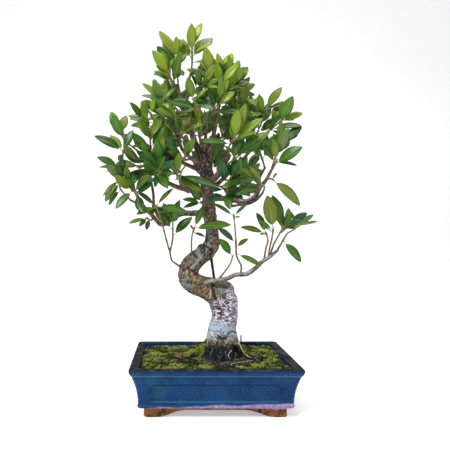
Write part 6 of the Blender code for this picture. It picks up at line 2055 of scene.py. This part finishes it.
def make_grit():
    """Eight-faced stones on the soil: each axis stretched and each ring turned at random."""
    draw = np.random.default_rng(57)
    flat = (draw.random((GRIT, 2)) * 2 - 1) * (SOIL_HALF - 0.002)
    flat = flat[off_the_flare(flat)]
    low, high = GRIT_SIZE
    size = low + (high - low) * draw.random((len(flat), 1)) ** 2
    size = size * (0.6 + 0.7 * draw.random((len(flat), 3)))
    turn = draw.random(len(flat)) * 2 * math.pi
    stones = STONE_POINTS[None] * size[:, None]
    x = stones[..., 0] * np.cos(turn)[:, None] - stones[..., 1] * np.sin(turn)[:, None]
    y = stones[..., 0] * np.sin(turn)[:, None] + stones[..., 1] * np.cos(turn)[:, None]
    top = soil_top(flat[:, 0], flat[:, 1]) + 0.0008 * moss_at(flat[:, 0], flat[:, 1])
    points = np.stack([x, y, stones[..., 2]], axis=-1) + np.column_stack([flat, top])[:, None]
    faces = np.arange(len(flat))[:, None, None] * 6 + STONE_FACES
    mesh = mesh_of("grit", points.reshape(-1, 3) + SHIFT, [faces.reshape(-1, 3)])
    set_values(mesh, "tint", np.repeat(draw.random(len(flat)) ** 3, 6))
    shader = Shader("grit", 0.9, 0.2)
    stone = shader.mix(shader.value("tint"), (0.045, 0.030, 0.020), (0.52, 0.48, 0.43))
    stone = shader.finish(stone, None, shader.clouds(0.0008), 0.0002)
    return show("grit", mesh, [stone])


litter = [make_dry_leaf(), make_lump(), make_grit()]
print("litter:", [piece.name for piece in litter])

# %% [markdown]
# ## The drain screens
# Two squares of black plastic net lie under the soil, over the drain holes. Their solids are right as they
# are, so they only get a material.

# %% The screens' material
def screen_material():
    """Black plastic with a fine grain."""
    shader = Shader("black_plastic", 0.6, 0.4)
    grain = shader.clouds(0.0006, 2)
    colour = shader.mix(grain, (0.010, 0.010, 0.011), (0.028, 0.028, 0.030))
    return shader.finish(colour, None, grain, 0.0001)


screen_plastic = screen_material()
for name in ("drain_screen_left", "drain_screen_right"):
    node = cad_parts[name]
    node.data.materials.clear()
    node.data.materials.append(screen_plastic)

# %% [markdown]
# ## The studio
# A pale floor that curves up into a backdrop, a large soft light over the left shoulder, a weaker one on
# the right and an even, bright surround.

# %% The studio
FLOOR_HALF = 2.6
BACKDROP_DEPTH = 1.5
BACKDROP_BEND = 0.9
BACKDROP_TOP = 3.2
BACKDROP_GLOW = 0.36
SURROUND = 0.36
# place, size in metres and watts of each soft light, and where they look
LIGHTS = {"key": ((-0.9, -1.3, 1.7), 0.6, 36),
          "fill": ((1.3, -1.0, 0.9), 1.2, 5),
          "top": ((0.1, 0.2, 1.9), 1.0, 14)}
LIT_PLACE = Vector((0, 0, 0.32))


def make_backdrop():
    """A floor whose far edge bends up as a quarter circle: a profile carried straight across."""
    bend = np.linspace(0, math.pi / 2, 24)
    profile = np.concatenate([[[-FLOOR_HALF, 0]], np.column_stack([
        BACKDROP_DEPTH + BACKDROP_BEND * np.sin(bend), BACKDROP_BEND * (1 - np.cos(bend))]),
        [[BACKDROP_DEPTH + BACKDROP_BEND, BACKDROP_TOP]]])
    across = np.array([-FLOOR_HALF, FLOOR_HALF])
    points = np.stack([np.column_stack([np.full(len(profile), x), profile]) for x in across], axis=1)
    mesh = mesh_of("backdrop", points.reshape(-1, 3), [grid_faces(len(profile), 2)[:, ::-1]])
    shader = Shader("backdrop", 0.9, 0.1)
    shader.principled.inputs["Emission Color"].default_value = (1, 1, 1, 1)
    shader.principled.inputs["Emission Strength"].default_value = BACKDROP_GLOW
    mesh.materials.append(shader.finish((0.90, 0.90, 0.90)))
    backdrop = in_scene("backdrop", mesh)


def make_light(name, place, size, watts):
    """A square soft light that looks at the middle of the tree."""
    data = bpy.data.lights.new(name, "AREA")
    data.size = size
    data.energy = watts
    light = in_scene(name, data)
    light.location = place
    light.rotation_euler = (LIT_PLACE - Vector(place)).to_track_quat("-Z", "Y").to_euler()


def make_surround(strength):
    """Even white light from all round."""
    world = bpy.data.worlds.new("surround")
    world.use_nodes = True
    background = world.node_tree.nodes["Background"]
    background.inputs["Color"].default_value = (1, 1, 1, 1)
    background.inputs["Strength"].default_value = strength
    bpy.context.scene.world = world


make_backdrop()
for name, (place, size, watts) in LIGHTS.items():
    make_light(name, place, size, watts)
make_surround(SURROUND)
bpy.context.scene.view_settings.view_transform = "Standard"
